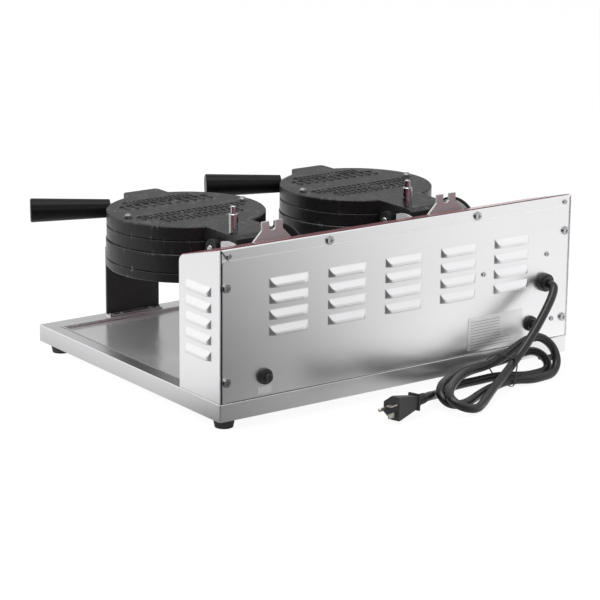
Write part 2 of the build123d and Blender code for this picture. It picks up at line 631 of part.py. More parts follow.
# Screws of the box
def box_screws():
    out = (0, 1, 0)
    heads = [pan_screw((x, REAR + SHEET, STRIP_SCREW_Z), out, PAN_RADIUS, PAN_HEIGHT, PAN_SHANK, 5)
             for x in (-STRIP_SCREW_INNER, STRIP_SCREW_INNER)]
    heads += [pan_screw((x, REAR + SHEET, STRIP_SCREW_Z), out, SMALL_PAN_RADIUS, SMALL_PAN_HEIGHT,
                        SMALL_PAN_SHANK, 5) for x in (-STRIP_SCREW_OUTER, STRIP_SCREW_OUTER)]
    for x in (-REAR_SCREW_X, REAR_SCREW_X):
        for z in (REAR_SCREW_LOW, REAR_SCREW_HIGH):
            heads.append(pan_screw((x, REAR, z), out, PAN_RADIUS, PAN_HEIGHT, PAN_SHANK, 5))
    small = [pan_screw((x, REAR, z), out, SMALL_PAN_RADIUS, SMALL_PAN_HEIGHT, SMALL_PAN_SHANK, 4)
             for x, z in SMALL_SCREWS]
    keep("panel_screws", *heads, *small)


# Labels: plain plates without print
def labels():
    x0 = RATING_GAP - BREAKER_X
    z0 = DECK + RATING_RISE
    plate = block(x0, x0 + RATING_LENGTH, REAR, REAR + LABEL_THICK, z0, z0 + RATING_HEIGHT)
    w, h = RESET_LABEL_SIZE
    z = BREAKER_Z - RESET_LABEL_DROP
    small = block(BREAKER_X - w / 2, BREAKER_X + w / 2, REAR, REAR + LABEL_THICK, z - h / 2, z + h / 2)
    keep("labels", plate, small)


# Reset breakers: body and nut, with a button that pushes in
def breakers():
    for name, sign in (("right", 1), ("left", -1)):
        x = sign * BREAKER_X
        w, d, h = BREAKER_BODY
        body = block(x - w / 2, x + w / 2, REAR - SHEET - d, REAR - SHEET, BREAKER_Z - h / 2 + 2, BREAKER_Z + h / 2)
        body += rod((x, REAR - SHEET - 1, BREAKER_Z), Y_AXIS, BREAKER_THREAD, SHEET + 1.5)
        body += rod((x, REAR, BREAKER_Z), Y_AXIS, BREAKER_NUT_RADIUS, BREAKER_NUT_LENGTH * 0.7,
                    BREAKER_NUT_RADIUS - 0.6)
        body += rod((x, REAR + 1, BREAKER_Z), Y_AXIS, BREAKER_NUT_RADIUS - 1.6, BREAKER_NUT_LENGTH - 1)
        body -= rod((x, REAR - 6, BREAKER_Z), Y_AXIS, BUTTON_RADIUS + BUTTON_CLEARANCE, 20)
        keep("breaker_" + name, body)
        tip = REAR + BREAKER_NUT_LENGTH + BUTTON_STAND
        button = rod((x, REAR - 6 + BUTTON_TRAVEL + 0.5, BREAKER_Z), Y_AXIS, BUTTON_RADIUS, tip - REAR + 2)
        end = button.faces().sort_by(Axis.Y)[-1]
        button = chamfer(end.edges(), 0.8)
        button -= block(x - 0.6, x + 0.6, tip - 2.2, tip + 1, BREAKER_Z - 7, BREAKER_Z + 7)
        keep("reset_button_" + name, button)


# Cord entry: a bushing through the panel, cap outside and nut inside
def strain_relief():
    spot = (RELIEF_X, REAR, RELIEF_Z)
    body = rod(spot, Y_AXIS, RELIEF_FLANGE_RADIUS, RELIEF_CAP, RELIEF_FLANGE_RADIUS - 0.5)
    body += rod(spot, Y_AXIS, RELIEF_FLANGE_RADIUS - 2.0, RELIEF_LENGTH, RELIEF_FLANGE_RADIUS - 3.6)
    body += rod(spot, (0, -1, 0), RELIEF_NECK_RADIUS, RELIEF_INSIDE + SHEET)
    body += rod((RELIEF_X, REAR - SHEET, RELIEF_Z), (0, -1, 0), *RELIEF_NUT)
    keep("strain_relief", body)


# Inside the box: terminal block and relay behind the rear panel
def box_inside():
    tx, tz = TERMINAL_SPOT
    rx, rz = RELAY_SPOT
    w, d, h = TERMINAL_SIZE
    y1 = REAR - SHEET
    base = block(tx - w / 2, tx + w / 2, y1 - 4 - d, y1 - 4, tz - h / 2, tz + h / 2)
    base += block(tx - 6, tx + 6, y1 - 5, y1, tz - 6, tz + 6)
    for i in range(4):
        x = tx - w / 2 + 7 + i * 14
        base -= block(x - 5, x + 5, y1 - 5 - d, y1 - d + 3, tz - h / 2 + 3, tz + h / 2 - 3)
    base -= rod((tx, REAR, tz), (0, -1, 0), SMALL_PAN_SHANK + SCREW_GAP, 8)
    keep("terminal_block", base)
    w, d, h = RELAY_SIZE
    relay = block(rx - w / 2, rx + w / 2, y1 - 3 - d, y1 - 3, rz - 4, rz - 4 + h)
    relay += block(rx - 6, rx + 6, y1 - 4, y1, rz - 5, rz + 6)
    relay -= rod((rx, REAR, rz), (0, -1, 0), SMALL_PAN_SHANK + SCREW_GAP, 8)
    keep("relay", relay)


# Timers, switches and lamps on the front face
def controls():
    face = BOX_FRONT - FASCIA_SHEET
    out = (0, -1, 0)
    bodies = []
    housings = []
    lamps = []
    for name, sign in (("right", 1), ("left", -1)):
        x = sign * TIMER_X
        half, deep = TIMER_BODY
        shaft, reach = TIMER_SHAFT
        body = block(x - half, x + half, BOX_FRONT + SHEET + FIT_GAP, BOX_FRONT + deep,
                     CONTROL_Z - half, CONTROL_Z + half)
        body += rod((x, BOX_FRONT + 2, CONTROL_Z), out, TIMER_NECK, 2 + FASCIA_SHEET)
        body += rod((x, face, CONTROL_Z), out, shaft, reach)
        bodies.append(body)
        knob = rod((x, face - KNOB_GAP, CONTROL_Z), out, KNOB_RADIUS, 3.0)
        knob += rod((x, face - KNOB_GAP, CONTROL_Z), out, KNOB_RADIUS - 4.0, KNOB_LENGTH, KNOB_RADIUS - 5.5)
        knob += block(x - 2.2, x + 2.2, face - KNOB_GAP - KNOB_LENGTH, face - KNOB_GAP,
                      CONTROL_Z, CONTROL_Z + KNOB_RADIUS - 1.0)
        knob -= rod((x, face + 1, CONTROL_Z), out, shaft + PIN_CLEARANCE, reach + 1.5)
        keep("timer_knob_" + name, knob)
        s = sign * SWITCH_X
        w, h = SWITCH_HALF
        box = block(s - w + FIT_GAP, s + w - FIT_GAP, BOX_FRONT + SHEET, BOX_FRONT + 22,
                    CONTROL_Z - h + FIT_GAP, CONTROL_Z + h - FIT_GAP)
        box += block(s - w + FIT_GAP, s + w - FIT_GAP, face, BOX_FRONT + SHEET + 1,
                     CONTROL_Z - h + FIT_GAP, CONTROL_Z + h - FIT_GAP)
        box += block(s - w - 2, s + w + 2, face - 1.6, face, CONTROL_Z - h - 2, CONTROL_Z + h + 2)
        box -= block(s - w + 1.6, s + w - 1.6, face - 3, BOX_FRONT + 13, CONTROL_Z - h + 1.6, CONTROL_Z + h - 1.6)
        box -= rod((s - w, BOX_FRONT + ROCKER_SINK, CONTROL_Z), X_AXIS, 1.5 + PIN_CLEARANCE, 2 * w)
        housings.append(box)
        keep("power_rocker_" + name, rocker(s))
        lamp = rod((s, BOX_FRONT + 12, LAMP_Z), out, LAMP_RADIUS, 12 + FASCIA_SHEET)
        lamp += rod((s, face, LAMP_Z), out, LAMP_RADIUS + 1.6, 1.4)
        lamp += rod((s, face, LAMP_Z), out, LAMP_RADIUS, 4.0, LAMP_RADIUS - 1.4)
        lamps.append(lamp)
    keep("timer_bodies", *bodies)
    keep("switch_housings", *housings)
    keep("pilot_lamps", *lamps)


def rocker(x):
    """A rocker with two pressing faces on a small pivot, resting tilted."""
    w, h = SWITCH_HALF
    pw = w - 1.6 - FIT_GAP * 1.5
    ph = h - 1.6 - ROCKER_GAP
    pivot_y = BOX_FRONT + ROCKER_SINK
    top = BOX_FRONT - FASCIA_SHEET - 2.2
    body = [(pivot_y + 3.0, CONTROL_Z - 3.0), (top + 2.0, CONTROL_Z - ph), (top - 0.6, CONTROL_Z - ph),
            (top + 1.0, CONTROL_Z), (top - 0.6, CONTROL_Z + ph), (top + 2.0, CONTROL_Z + ph),
            (pivot_y + 3.0, CONTROL_Z + 3.0)]
    shape = prism_x(body, x - pw, x + pw)
    shape += rod((x - w + 0.4, pivot_y, CONTROL_Z), X_AXIS, 1.5, 2 * w - 0.8)
    tilt = Pos(x, pivot_y, CONTROL_Z) * Rot(ROCKER_TILT, 0, 0) * Pos(-x, -pivot_y, -CONTROL_Z)
    return tilt * shape


# Grid of tapered pegs that press the pockets into a waffle
def pegs(z0, up):
    reach = GRID_RADIUS - PEG_BASE * 0.62
    found = []
    count = int(GRID_RADIUS / GRID_PITCH) + 1
    square = Rectangle(PEG_BASE, PEG_BASE)
    peg = extrude(square, amount=PEG_HEIGHT + 1.0, taper=PEG_TAPER)
    if not up:
        peg = Rot(180, 0, 0) * peg
    lift = -1.0 if up else 1.0
    for i in range(-count, count):
        for j in range(-count, count):
            x = (i + 0.5) * GRID_PITCH
            y = (j + 0.5) * GRID_PITCH
            if sqrt(x * x + y * y) < reach:
                found.append(Pos(x, IRON_Y + y, z0 + lift) * peg)
    return found


def disc(radius, z0, z1):
    return rod((0, IRON_Y, z0), Z_AXIS, radius, z1 - z0)


def soft_disc(radius, z0, z1):
    """A casting disc with its two rims taken off."""
    body = disc(radius, z0, z1)
    rims = body.edges().filter_by(GeomType.CIRCLE)
    return chamfer(rims, RIM_CHAMFER)


# Lower grid casting, with two ears for the hinge pin and a stop block between them
def lower_plate():
    body = soft_disc(IRON_RADIUS + LOWER_EXTRA, LOWER_SEAM, PARTING)
    low = LOWER_SEAM + RIM_CHAMFER
    inside = IRON_Y + IRON_RADIUS - 16.0
    for sign in (-1, 1):
        x0, x1 = sorted((sign * EAR_INNER, sign * (EAR_INNER + EAR_THICK)))
        body += block(x0, x1, inside - 8.0, EAR_ARM_REAR, low, EAR_ARM_TOP)
        body += block(x0, x1, AXIS_Y - EAR_RADIUS, AXIS_Y + EAR_RADIUS, low, AXIS_Z)
        body += rod((x0, AXIS_Y, AXIS_Z), X_AXIS, EAR_RADIUS, EAR_THICK)
    body += block(-EAR_INNER, EAR_INNER, inside, STOP_FACE_Y, low, STOP_TOP)
    body -= rod((-60, AXIS_Y, AXIS_Z), X_AXIS, PIN_RADIUS + PIN_CLEARANCE, 120)
    pocket = disc(GRID_RADIUS, PARTING - LOWER_POCKET, PARTING + 1)
    body -= pocket
    body += pegs(PARTING - LOWER_POCKET, True)
    body -= disc(COVER_CAVITY_RADIUS, LOWER_SEAM - 1, LOWER_SEAM + LOWER_ROOF)
    for x, z in ear_screws():
        body -= rod((x, ear_screw_y(), z), X_AXIS, PAN_SHANK + SCREW_GAP, EAR_THICK + 1)
    return body


def ear_screws():
    """Start points on the inner faces of the ears, one pair a side."""
    return ((-EAR_INNER - EAR_THICK - 0.5, LOWER_SEAM + 12.0), (EAR_INNER - 0.5, LOWER_SEAM + 12.0))


def ear_screw_y():
    return AXIS_Y + 2.0


# Lower cover that closes the heater space from below
def lower_cover():
    body = soft_disc(IRON_RADIUS + LOWER_EXTRA, LOWER_BOTTOM, LOWER_SEAM)
    body -= disc(COVER_CAVITY_RADIUS, LOWER_BOTTOM + 4.0, LOWER_SEAM + 1)
    for x in (-COVER_SCREW_X, COVER_SCREW_X):
        body -= rod((x, COVER_SCREW_Y, LOWER_BOTTOM - 1), Z_AXIS, PAN_SHANK + SCREW_GAP, 8)
    body -= rod((CONDUIT_X, 60, CONDUIT_Z), (0, -1, 0), CONDUIT_RADIUS, 60)
    return body


# Heating element: two rings of tube joined by bridges, with a cold end that runs out at the back
def element(z):
    whole = None
    big, small = ELEMENT_RINGS
    half = ELEMENT_BRIDGE
    for radius in ELEMENT_RINGS:
        ring = Torus(radius, ELEMENT_RADIUS)
        ring -= block(-half, half, 0, radius + 10, -6, 6)
        ring = Pos(0, IRON_Y, z) * ring
        whole = ring if whole is None else whole + ring
    y0 = IRON_Y + sqrt(small * small - half * half)
    y1 = IRON_Y + sqrt(big * big - half * half)
    for x in (-half, half):
        whole += rod((x, y0, z), Y_AXIS, ELEMENT_RADIUS - 0.5, y1 - y0)
        for y in (y0, y1):
            whole += Pos(x, y, z) * Sphere(ELEMENT_JOINT)
    return whole + rod((half, y1, z), Y_AXIS, ELEMENT_RADIUS - 0.5, ELEMENT_TAIL)


# Upper grid casting
def upper_plate():
    body = soft_disc(IRON_RADIUS, PARTING, UPPER_STEP)
    body -= disc(GRID_RADIUS, PARTING - 1, PARTING + UPPER_POCKET)
    body += pegs(PARTING + UPPER_POCKET, False)
    return body


# Upper cover with its hinge lug, front tab, handle boss and raised bars on top
def upper_cover():
    body = soft_disc(IRON_RADIUS, UPPER_STEP, UPPER_TOP)
    low = AXIS_Z - LUG_DROP
    start = IRON_Y + IRON_RADIUS - 14.0
    lug = [(start, UPPER_STEP + 0.2), (start, UPPER_TOP), (LUG_TOP_REAR, UPPER_TOP),
           (LUG_TOP_REAR + 8.5, UPPER_TOP - 3.8), (LUG_REAR, UPPER_TOP - 12.0), (LUG_REAR, low),
           (IRON_Y + IRON_RADIUS + 1.5, low), (IRON_Y + IRON_RADIUS + 1.5, UPPER_STEP + 0.2)]
    body += prism_x(lug, -LUG_HALF, LUG_HALF)
    corner = TAB_FRONT + TAB_CORNER
    tab = [(TAB_LEFT[0], TAB_ROOT), (TAB_LEFT[0], corner), (TAB_LEFT[1], TAB_FRONT), (TAB_RIGHT[0], TAB_FRONT),
           (TAB_RIGHT[1], corner), (TAB_RIGHT[2], TAB_ROOT)]
    body += prism_z(tab, UPPER_TOP - TAB_DEPTH, UPPER_TOP)
    direction = handle_direction()
    sx, sy = GRIP_START
    back = (sx - 24.0 * direction[0], sy - 24.0 * direction[1], GRIP_Z)
    boss = rod(back, direction, BOSS_RADIUS, BOSS_LENGTH)
    boss -= disc(COVER_CAVITY_RADIUS + 2.0, UPPER_STEP - 5, UPPER_TOP + 5)
    body += boss
    body -= disc(COVER_CAVITY_RADIUS, UPPER_STEP - 1, UPPER_TOP - COVER_ROOF)
    body += raised_bars()
    body -= rod((-60, AXIS_Y, AXIS_Z), X_AXIS, PIN_RADIUS + PIN_CLEARANCE, 120)
    body -= rod((POST_X, POST_Y, UPPER_TOP - POST_STUD[1] - 2), Z_AXIS, POST_STUD[0] + SCREW_GAP, 20)
    body -= rod(back, direction, STUD_RADIUS + SCREW_GAP, 30)
    for x in (-COVER_BOLT_X, COVER_BOLT_X):
        body -= rod((x, IRON_Y, UPPER_TOP - 20), Z_AXIS, COVER_BOLT_SHANK + SCREW_GAP, 30)
    return body


def raised_bars():
    """Plain raised bars in two bands each side of a smooth strip."""
    found = []
    low = UPPER_TOP - BAR_SINK
    high = UPPER_TOP + BAR_RISE
    for count, (centre, depth, step, thick) in zip(BAR_COUNTS, BAR_ROWS):
        back = IRON_Y + centre - depth / 2
        for i in range(count):
            x = (i - (count - 1) / 2) * step
            found.append(block(x - thick / 2, x + thick / 2, back, back + depth, low, high))
        span = (count - 1) * step / 2 + BAR_LINE_END
        line = back - BAR_LINE_GAP
        found.append(block(-span, span, line - BAR_LINE_WIDTH / 2, line + BAR_LINE_WIDTH / 2, low, high))
    return found


def handle_direction():
    dx = GRIP_END[0] - GRIP_START[0]
    dy = GRIP_END[1] - GRIP_START[1]
    size = sqrt(dx * dx + dy * dy)
    return (dx / size, dy / size, 0.0)


def handle_length():
    return sqrt((GRIP_END[0] - GRIP_START[0]) ** 2 + (GRIP_END[1] - GRIP_START[1]) ** 2)


# Handle: tapered black grip on a steel stud
def handle_grip():
    direction = handle_direction()
    sx, sy = GRIP_START
    start = (sx, sy, GRIP_Z)
    grip = rod(start, direction, GRIP_ROOT_RADIUS, handle_length(), GRIP_TIP_RADIUS)
    far = grip.faces().sort_by_distance((GRIP_END[0], GRIP_END[1], GRIP_Z))[0]
    grip = fillet(far.edges(), 2.0)
    near = grip.faces().sort_by_distance(start)[0]
    grip = fillet(near.edges(), 1.2)
    grip -= rod(start, direction, STUD_RADIUS + PIN_CLEARANCE, 70)
    return grip


def handle_stud():
    direction = handle_direction()
    sx, sy = GRIP_START
    back = (sx - 20.0 * direction[0], sy - 20.0 * direction[1], GRIP_Z)
    stud = rod(back, direction, STUD_RADIUS, STUD_LENGTH)
    gap = STUD_COLLAR[1] + 0.6
    collar = (sx - gap * direction[0], sy - gap * direction[1], GRIP_Z)
    return stud + rod(collar, direction, *STUD_COLLAR)


# Polished post that stands on the rear corner of the lug
def lug_post():
    post = rod((POST_X, POST_Y, UPPER_TOP), Z_AXIS, POST_RADIUS, POST_BODY)
    groove = (POST_X, POST_Y, UPPER_TOP + POST_GROOVE)
    post -= rod(groove, Z_AXIS, POST_RADIUS + 1, 0.8) - rod(groove, Z_AXIS, POST_RADIUS - 0.6, 0.8)
    top = post.faces().sort_by(Axis.Z)[-1]
    post = chamfer(top.edges(), 0.8)
    post += rod((POST_X, POST_Y, UPPER_TOP + POST_BODY - 1), Z_AXIS, POST_TIP_RADIUS, POST_TIP + 1)
    top = post.faces().sort_by(Axis.Z)[-1]
    post = fillet(top.edges(), 1.8)
    return post + rod((POST_X, POST_Y, UPPER_TOP - POST_STUD[1]), Z_AXIS, POST_STUD[0], POST_STUD[1] + 1)


# Round head screws on top of the cover
def cover_bolts():
    found = []
    for x in (-COVER_BOLT_X, COVER_BOLT_X):
        wide, high = COVER_BOLT_HEAD
        head = rod((x, IRON_Y, UPPER_TOP), Z_AXIS, wide, high)
        head += rod((x, IRON_Y, UPPER_TOP + high), Z_AXIS, wide, high, 0.6 * wide)
        head += rod((x, IRON_Y, UPPER_TOP), Z_AXIS, *COVER_BOLT_WASHER)
        found.append(head + rod((x, IRON_Y, UPPER_STEP + 2), Z_AXIS, COVER_BOLT_SHANK, UPPER_TOP - UPPER_STEP - 1))
    return found


# Hinge pin with a round head at one end and a clip at the other, and two thrust washers
def hinge_pin():
    x1 = EAR_INNER + EAR_THICK
    pin = rod((-BRACKET_HALF - 4.0, AXIS_Y, AXIS_Z), X_AXIS, PIN_RADIUS, BRACKET_HALF + 4.0 + x1 + 1)
    head = rod((x1 + 0.2, AXIS_Y, AXIS_Z), X_AXIS, *PIN_HEAD)
    head = fillet(head.faces().sort_by(Axis.X)[-1].edges(), 1.8)
    clip = rod((-BRACKET_HALF - 2.2, AXIS_Y, AXIS_Z), X_AXIS, *PIN_CLIP)
    return pin + head + clip


def hinge_washers():
    found = []
    for sign in (-1, 1):
        x0, x1 = sorted((sign * (LUG_HALF + WASHER_SIDE_GAP), sign * (EAR_INNER - WASHER_SIDE_GAP)))
        ring = rod((x0, AXIS_Y, AXIS_Z), X_AXIS, WASHER_RADIUS, x1 - x0)
        found.append(ring - rod((x0 - 1, AXIS_Y, AXIS_Z), X_AXIS, PIN_RADIUS + SCREW_GAP, 5))
    return found


# Hinge bracket: back plate with a notched top and two cheeks bolted to the ears
def hinge_bracket():
    y0 = BOX_FRONT - BRACKET_SHEET
    slope = HORN_HALF
    foot = SHOULDER_TOP - (BRACKET_HALF - slope)
    plate = [(-BRACKET_HALF, BRACKET_LOW), (-BRACKET_HALF, foot), (-slope, SHOULDER_TOP), (-slope, HORN_TOP),
             (-NOTCH_HALF, HORN_TOP), (-NOTCH_HALF, NOTCH_FLOOR + NOTCH_CORNER),
             (-NOTCH_HALF + NOTCH_CORNER, NOTCH_FLOOR), (NOTCH_HALF - NOTCH_CORNER, NOTCH_FLOOR),
             (NOTCH_HALF, NOTCH_FLOOR + NOTCH_CORNER), (NOTCH_HALF, HORN_TOP),
             (slope, HORN_TOP), (slope, SHOULDER_TOP), (BRACKET_HALF, foot), (BRACKET_HALF, BRACKET_LOW)]
    body = prism_y(plate, y0, BOX_FRONT)
    body += cheek(1, PLUS_CHEEK_TOP, PLUS_CHEEK_PEAK_Y)
    body += cheek(-1, MINUS_CHEEK_TOP, MINUS_CHEEK_PEAK_Y)
    body -= rod((-BRACKET_HALF - 1, AXIS_Y, AXIS_Z), X_AXIS, PIN_RADIUS + PIN_CLEARANCE, BRACKET_SHEET + 2)
    for x, z in bracket_screws():
        body -= rod((x, BOX_FRONT - 8, z), Y_AXIS, PAN_SHANK + SCREW_GAP, 10)
    for sign in (-1, 1):
        start = (sign * (EAR_INNER + EAR_THICK + 5), ear_screw_y(), LOWER_SEAM + 12.0)
        body -= rod(start, (-sign, 0, 0), PAN_SHANK + SCREW_GAP, 6)
    body -= rod((CONDUIT_X, BOX_FRONT - 8, CONDUIT_BOX_Z), Y_AXIS, CONDUIT_RADIUS + SCREW_GAP, 12)
    return body


def cheek(sign, top, peak):
    """One cheek of the bracket, cut from an arc at the top."""
    x0, x1 = sorted((sign * (BRACKET_HALF - BRACKET_SHEET), sign * BRACKET_HALF))
    back = BOX_FRONT - 0.4
    foot = LOWER_SEAM - CHEEK_LOW
    tall = block(x0, x1, CHEEK_FRONT, back, foot, top + 5)
    tall = tall & rod((x0 - 1, peak, top - CHEEK_ARC), X_AXIS, CHEEK_ARC, BRACKET_SHEET + 2)
    low = block(x0, x1, CHEEK_FRONT, back, foot, LOWER_SEAM + CHEEK_STEP)
    if sign > 0:
        tall = tall & block(x0, x1, PLUS_CHEEK_FRONT, back, foot, top + 5)
    else:
        low += rod((x0, AXIS_Y, AXIS_Z), X_AXIS, CHEEK_EYE, BRACKET_SHEET)
        low += block(x0, x1, CHEEK_FRONT, AXIS_Y + CHEEK_EYE, LOWER_SEAM + CHEEK_HEEL, AXIS_Z)
    shape = tall + low
    brace = [(back, BRACKET_LOW), (back, LOWER_SEAM), (AXIS_Y + CHEEK_EYE, LOWER_SEAM)]
    return shape + prism_x(brace, x0, x1)


def bracket_screws():
    return ((-38.0, BRACKET_LOW + 10.0), (38.0, BRACKET_LOW + 10.0), (-38.0, AXIS_Z - 6.0), (38.0, AXIS_Z - 6.0))


# Screws that hold the bracket to the box and to the ears
def bracket_fixings():
    found = []
    for x, z in bracket_screws():
        found.append(pan_screw((x, BOX_FRONT - BRACKET_SHEET, z), (0, -1, 0), PAN_RADIUS, PAN_HEIGHT, PAN_SHANK, 8))
    for sign in (-1, 1):
        spot = (sign * BRACKET_HALF, ear_screw_y(), LOWER_SEAM + 12.0)
        found.append(pan_screw(spot, (sign, 0, 0), PAN_RADIUS, PAN_HEIGHT, PAN_SHANK, 10))
    return found


# Support leg at the front: an upright sheet with a flange at the top and one at the foot
def support_leg():
    front = LEG_BACK - LEG_SHEET
    leg = block(-LEG_HALF, LEG_HALF, front, LEG_BACK, DECK, LOWER_BOTTOM)
    leg += block(-LEG_HALF, LEG_HALF, front, LEG_FOOT_REAR, DECK, DECK + LEG_SHEET)
    leg += block(-LEG_HALF, LEG_HALF, front, LEG_TOP_REAR, LOWER_BOTTOM - LEG_SHEET, LOWER_BOTTOM)
    for x in LEG_SCREW_X:
        leg -= rod((x, leg_screw_y(), DECK - 1), Z_AXIS, PAN_SHANK + SCREW_GAP, 6)
    return leg


def leg_screws():
    """Screws through the foot flange into the rim of the base."""
    spots = [(x, leg_screw_y(), DECK + LEG_SHEET) for x in LEG_SCREW_X]
    return [pan_screw(spot, Z_AXIS, *LEG_SCREW_HEAD, PAN_SHANK, 7) for spot in spots]


# Leads: a conduit from the lower heater that dips under the swing of the lug, and a lead from the end of the pin
def heater_leads():
    dip = FilletPolyline((CONDUIT_X, CONDUIT_START, CONDUIT_Z), (CONDUIT_X, CONDUIT_STRAIGHT, CONDUIT_Z),
                         (CONDUIT_X, CONDUIT_LEVEL, CONDUIT_BOX_Z), (CONDUIT_X, BOX_FRONT + 14, CONDUIT_BOX_Z),
                         radius=CONDUIT_BEND)
    section = Plane(origin=dip @ 0, z_dir=dip % 0) * Circle(CONDUIT_RADIUS - CONDUIT_GAP)
    conduit = sweep(section, path=dip)
    x0 = -BRACKET_HALF - 4.0
    path = FilletPolyline((x0, AXIS_Y, AXIS_Z), (x0 - 12, AXIS_Y, AXIS_Z), (LEAD_X - 4, AXIS_Y + 22, LEAD_Z),
                          (LEAD_X, AXIS_Y + 40, LEAD_Z), (LEAD_X, BOX_FRONT + 10, LEAD_Z), radius=5.5)
    start = path @ 0
    lead = sweep(Plane(origin=start, z_dir=path % 0) * Circle(LEAD_RADIUS - 0.6), path=path)
    return [conduit, lead]


def iron(side, sign):
    """All pieces of one iron, moved to its place."""
    place = Pos(sign * IRON_X, 0, 0)
    keep("lower_plate_" + side, place * lower_plate())
    keep("lower_cover_" + side, place * lower_cover())
    keep("lower_element_" + side, place * element(LOWER_SEAM + LOWER_ROOF - ELEMENT_JOINT - ELEMENT_GAP))
    keep("upper_plate_" + side, place * upper_plate())
    keep("upper_cover_" + side, place * upper_cover())
    keep("upper_element_" + side, place * element(UPPER_STEP + ELEMENT_JOINT + ELEMENT_GAP))
    keep("cover_bolts_" + side, *[place * bolt for bolt in cover_bolts()])
    keep("lug_post_" + side, place * lug_post())
    keep("handle_grip_" + side, place * handle_grip())
    keep("handle_stud_" + side, place * handle_stud())
    keep("hinge_pin_" + side, place * hinge_pin())
    keep("hinge_bracket_" + side, place * hinge_bracket())
    keep("support_leg_" + side, place * support_leg())


def shared_fixings():
    """Screws, washers and leads of both irons, grouped by kind."""
    screws = []
    washers = []
    leads = []
    for sign in (-1, 1):
        place = Pos(sign * IRON_X, 0, 0)
        screws += [place * piece for piece in bracket_fixings() + leg_screws()]
        washers += [place * piece for piece in hinge_washers()]
        leads += [place * piece for piece in heater_leads()]
    keep("iron_screws", *screws)
    keep("hinge_washers", *washers)
    keep("heater_leads", *leads)


# Power cord: a tube of straight runs joined by arcs, split where the free stretch becomes the bow
def cord():
    across, back = CORD_SHIFT
    points = [Vector(x + across, y + back, DECK + z) for x, y, z in LEAD_ROUTE + BOW_ROUTE]
    radii = []
    for before, here, after in zip(points, points[1:], points[2:]):
        turn = radians((here - before).get_angle(after - here))
        shorter = min((here - before).length, (after - here).length)
        radii.append(0.45 * shorter / tan(turn / 2))
    print("cord radii", [round(r, 1) for r in radii])
    path = FilletPolyline(*points, radius=radii)
    edges = path.edges()
    split = 2 * len(LEAD_ROUTE) - 3
    for name, part in (("power_cord", edges[:split]), ("cord_bow", edges[split:])):
        line = Wire(part)
        start = Plane(origin=line @ 0, z_dir=line % 0)
        tube = sweep(start * Circle(CORD_RADIUS), path=line)
        wanted = pi * CORD_RADIUS ** 2 * line.length
        print(name, "length", round(line.length, 1), "volume over section times length",
              round(tube.volume / wanted, 5))
        keep(name, tube)
    print("cord length", round(path.length, 1), "least gap to itself", round(cord_gap(path), 2))


def cord_gap(path):
    """Least gap between two stretches of the cord that are not neighbours, measured on points."""
    step = 2.0
    count = int(path.length / step)
    marks = [path @ (i / count) for i in range(count + 1)]
    apart = int(8 * CORD_RADIUS / step)
    least = path.length
    for i in range(len(marks)):
        for j in range(i + apart, len(marks)):
            least = min(least, (marks[i] - marks[j]).length)
    return least - 2 * CORD_RADIUS


# Twist tie round the waist of the bow
def cord_tie():
    face = make_face(Polyline(*[(0, y, DECK + z) for y, z in TIE_CORES], close=True)).face()
    inner = offset(face, amount=TIE_INNER, kind=Kind.ARC)
    outer = offset(face, amount=TIE_INNER + TIE_THICK, kind=Kind.ARC)
    band = extrude(outer, amount=1.6, dir=(1, 0, 0)) - extrude(inner, amount=1.6, dir=(1, 0, 0))
    top = DECK + TIE_CORES[0][1] + TIE_INNER + 0.3
    y = TIE_CORES[0][0] + 1.0
    band += rod((0.8, y - 1, top), (0.45, 0.8, 0.3), 0.8, 16.0)
    band += rod((0.8, y - 1, top), (-0.6, 0.5, 0.7), 0.8, 12.0)
    keep("cord_tie", Pos(TIE_X + CORD_SHIFT[0], CORD_SHIFT[1], 0) * band)


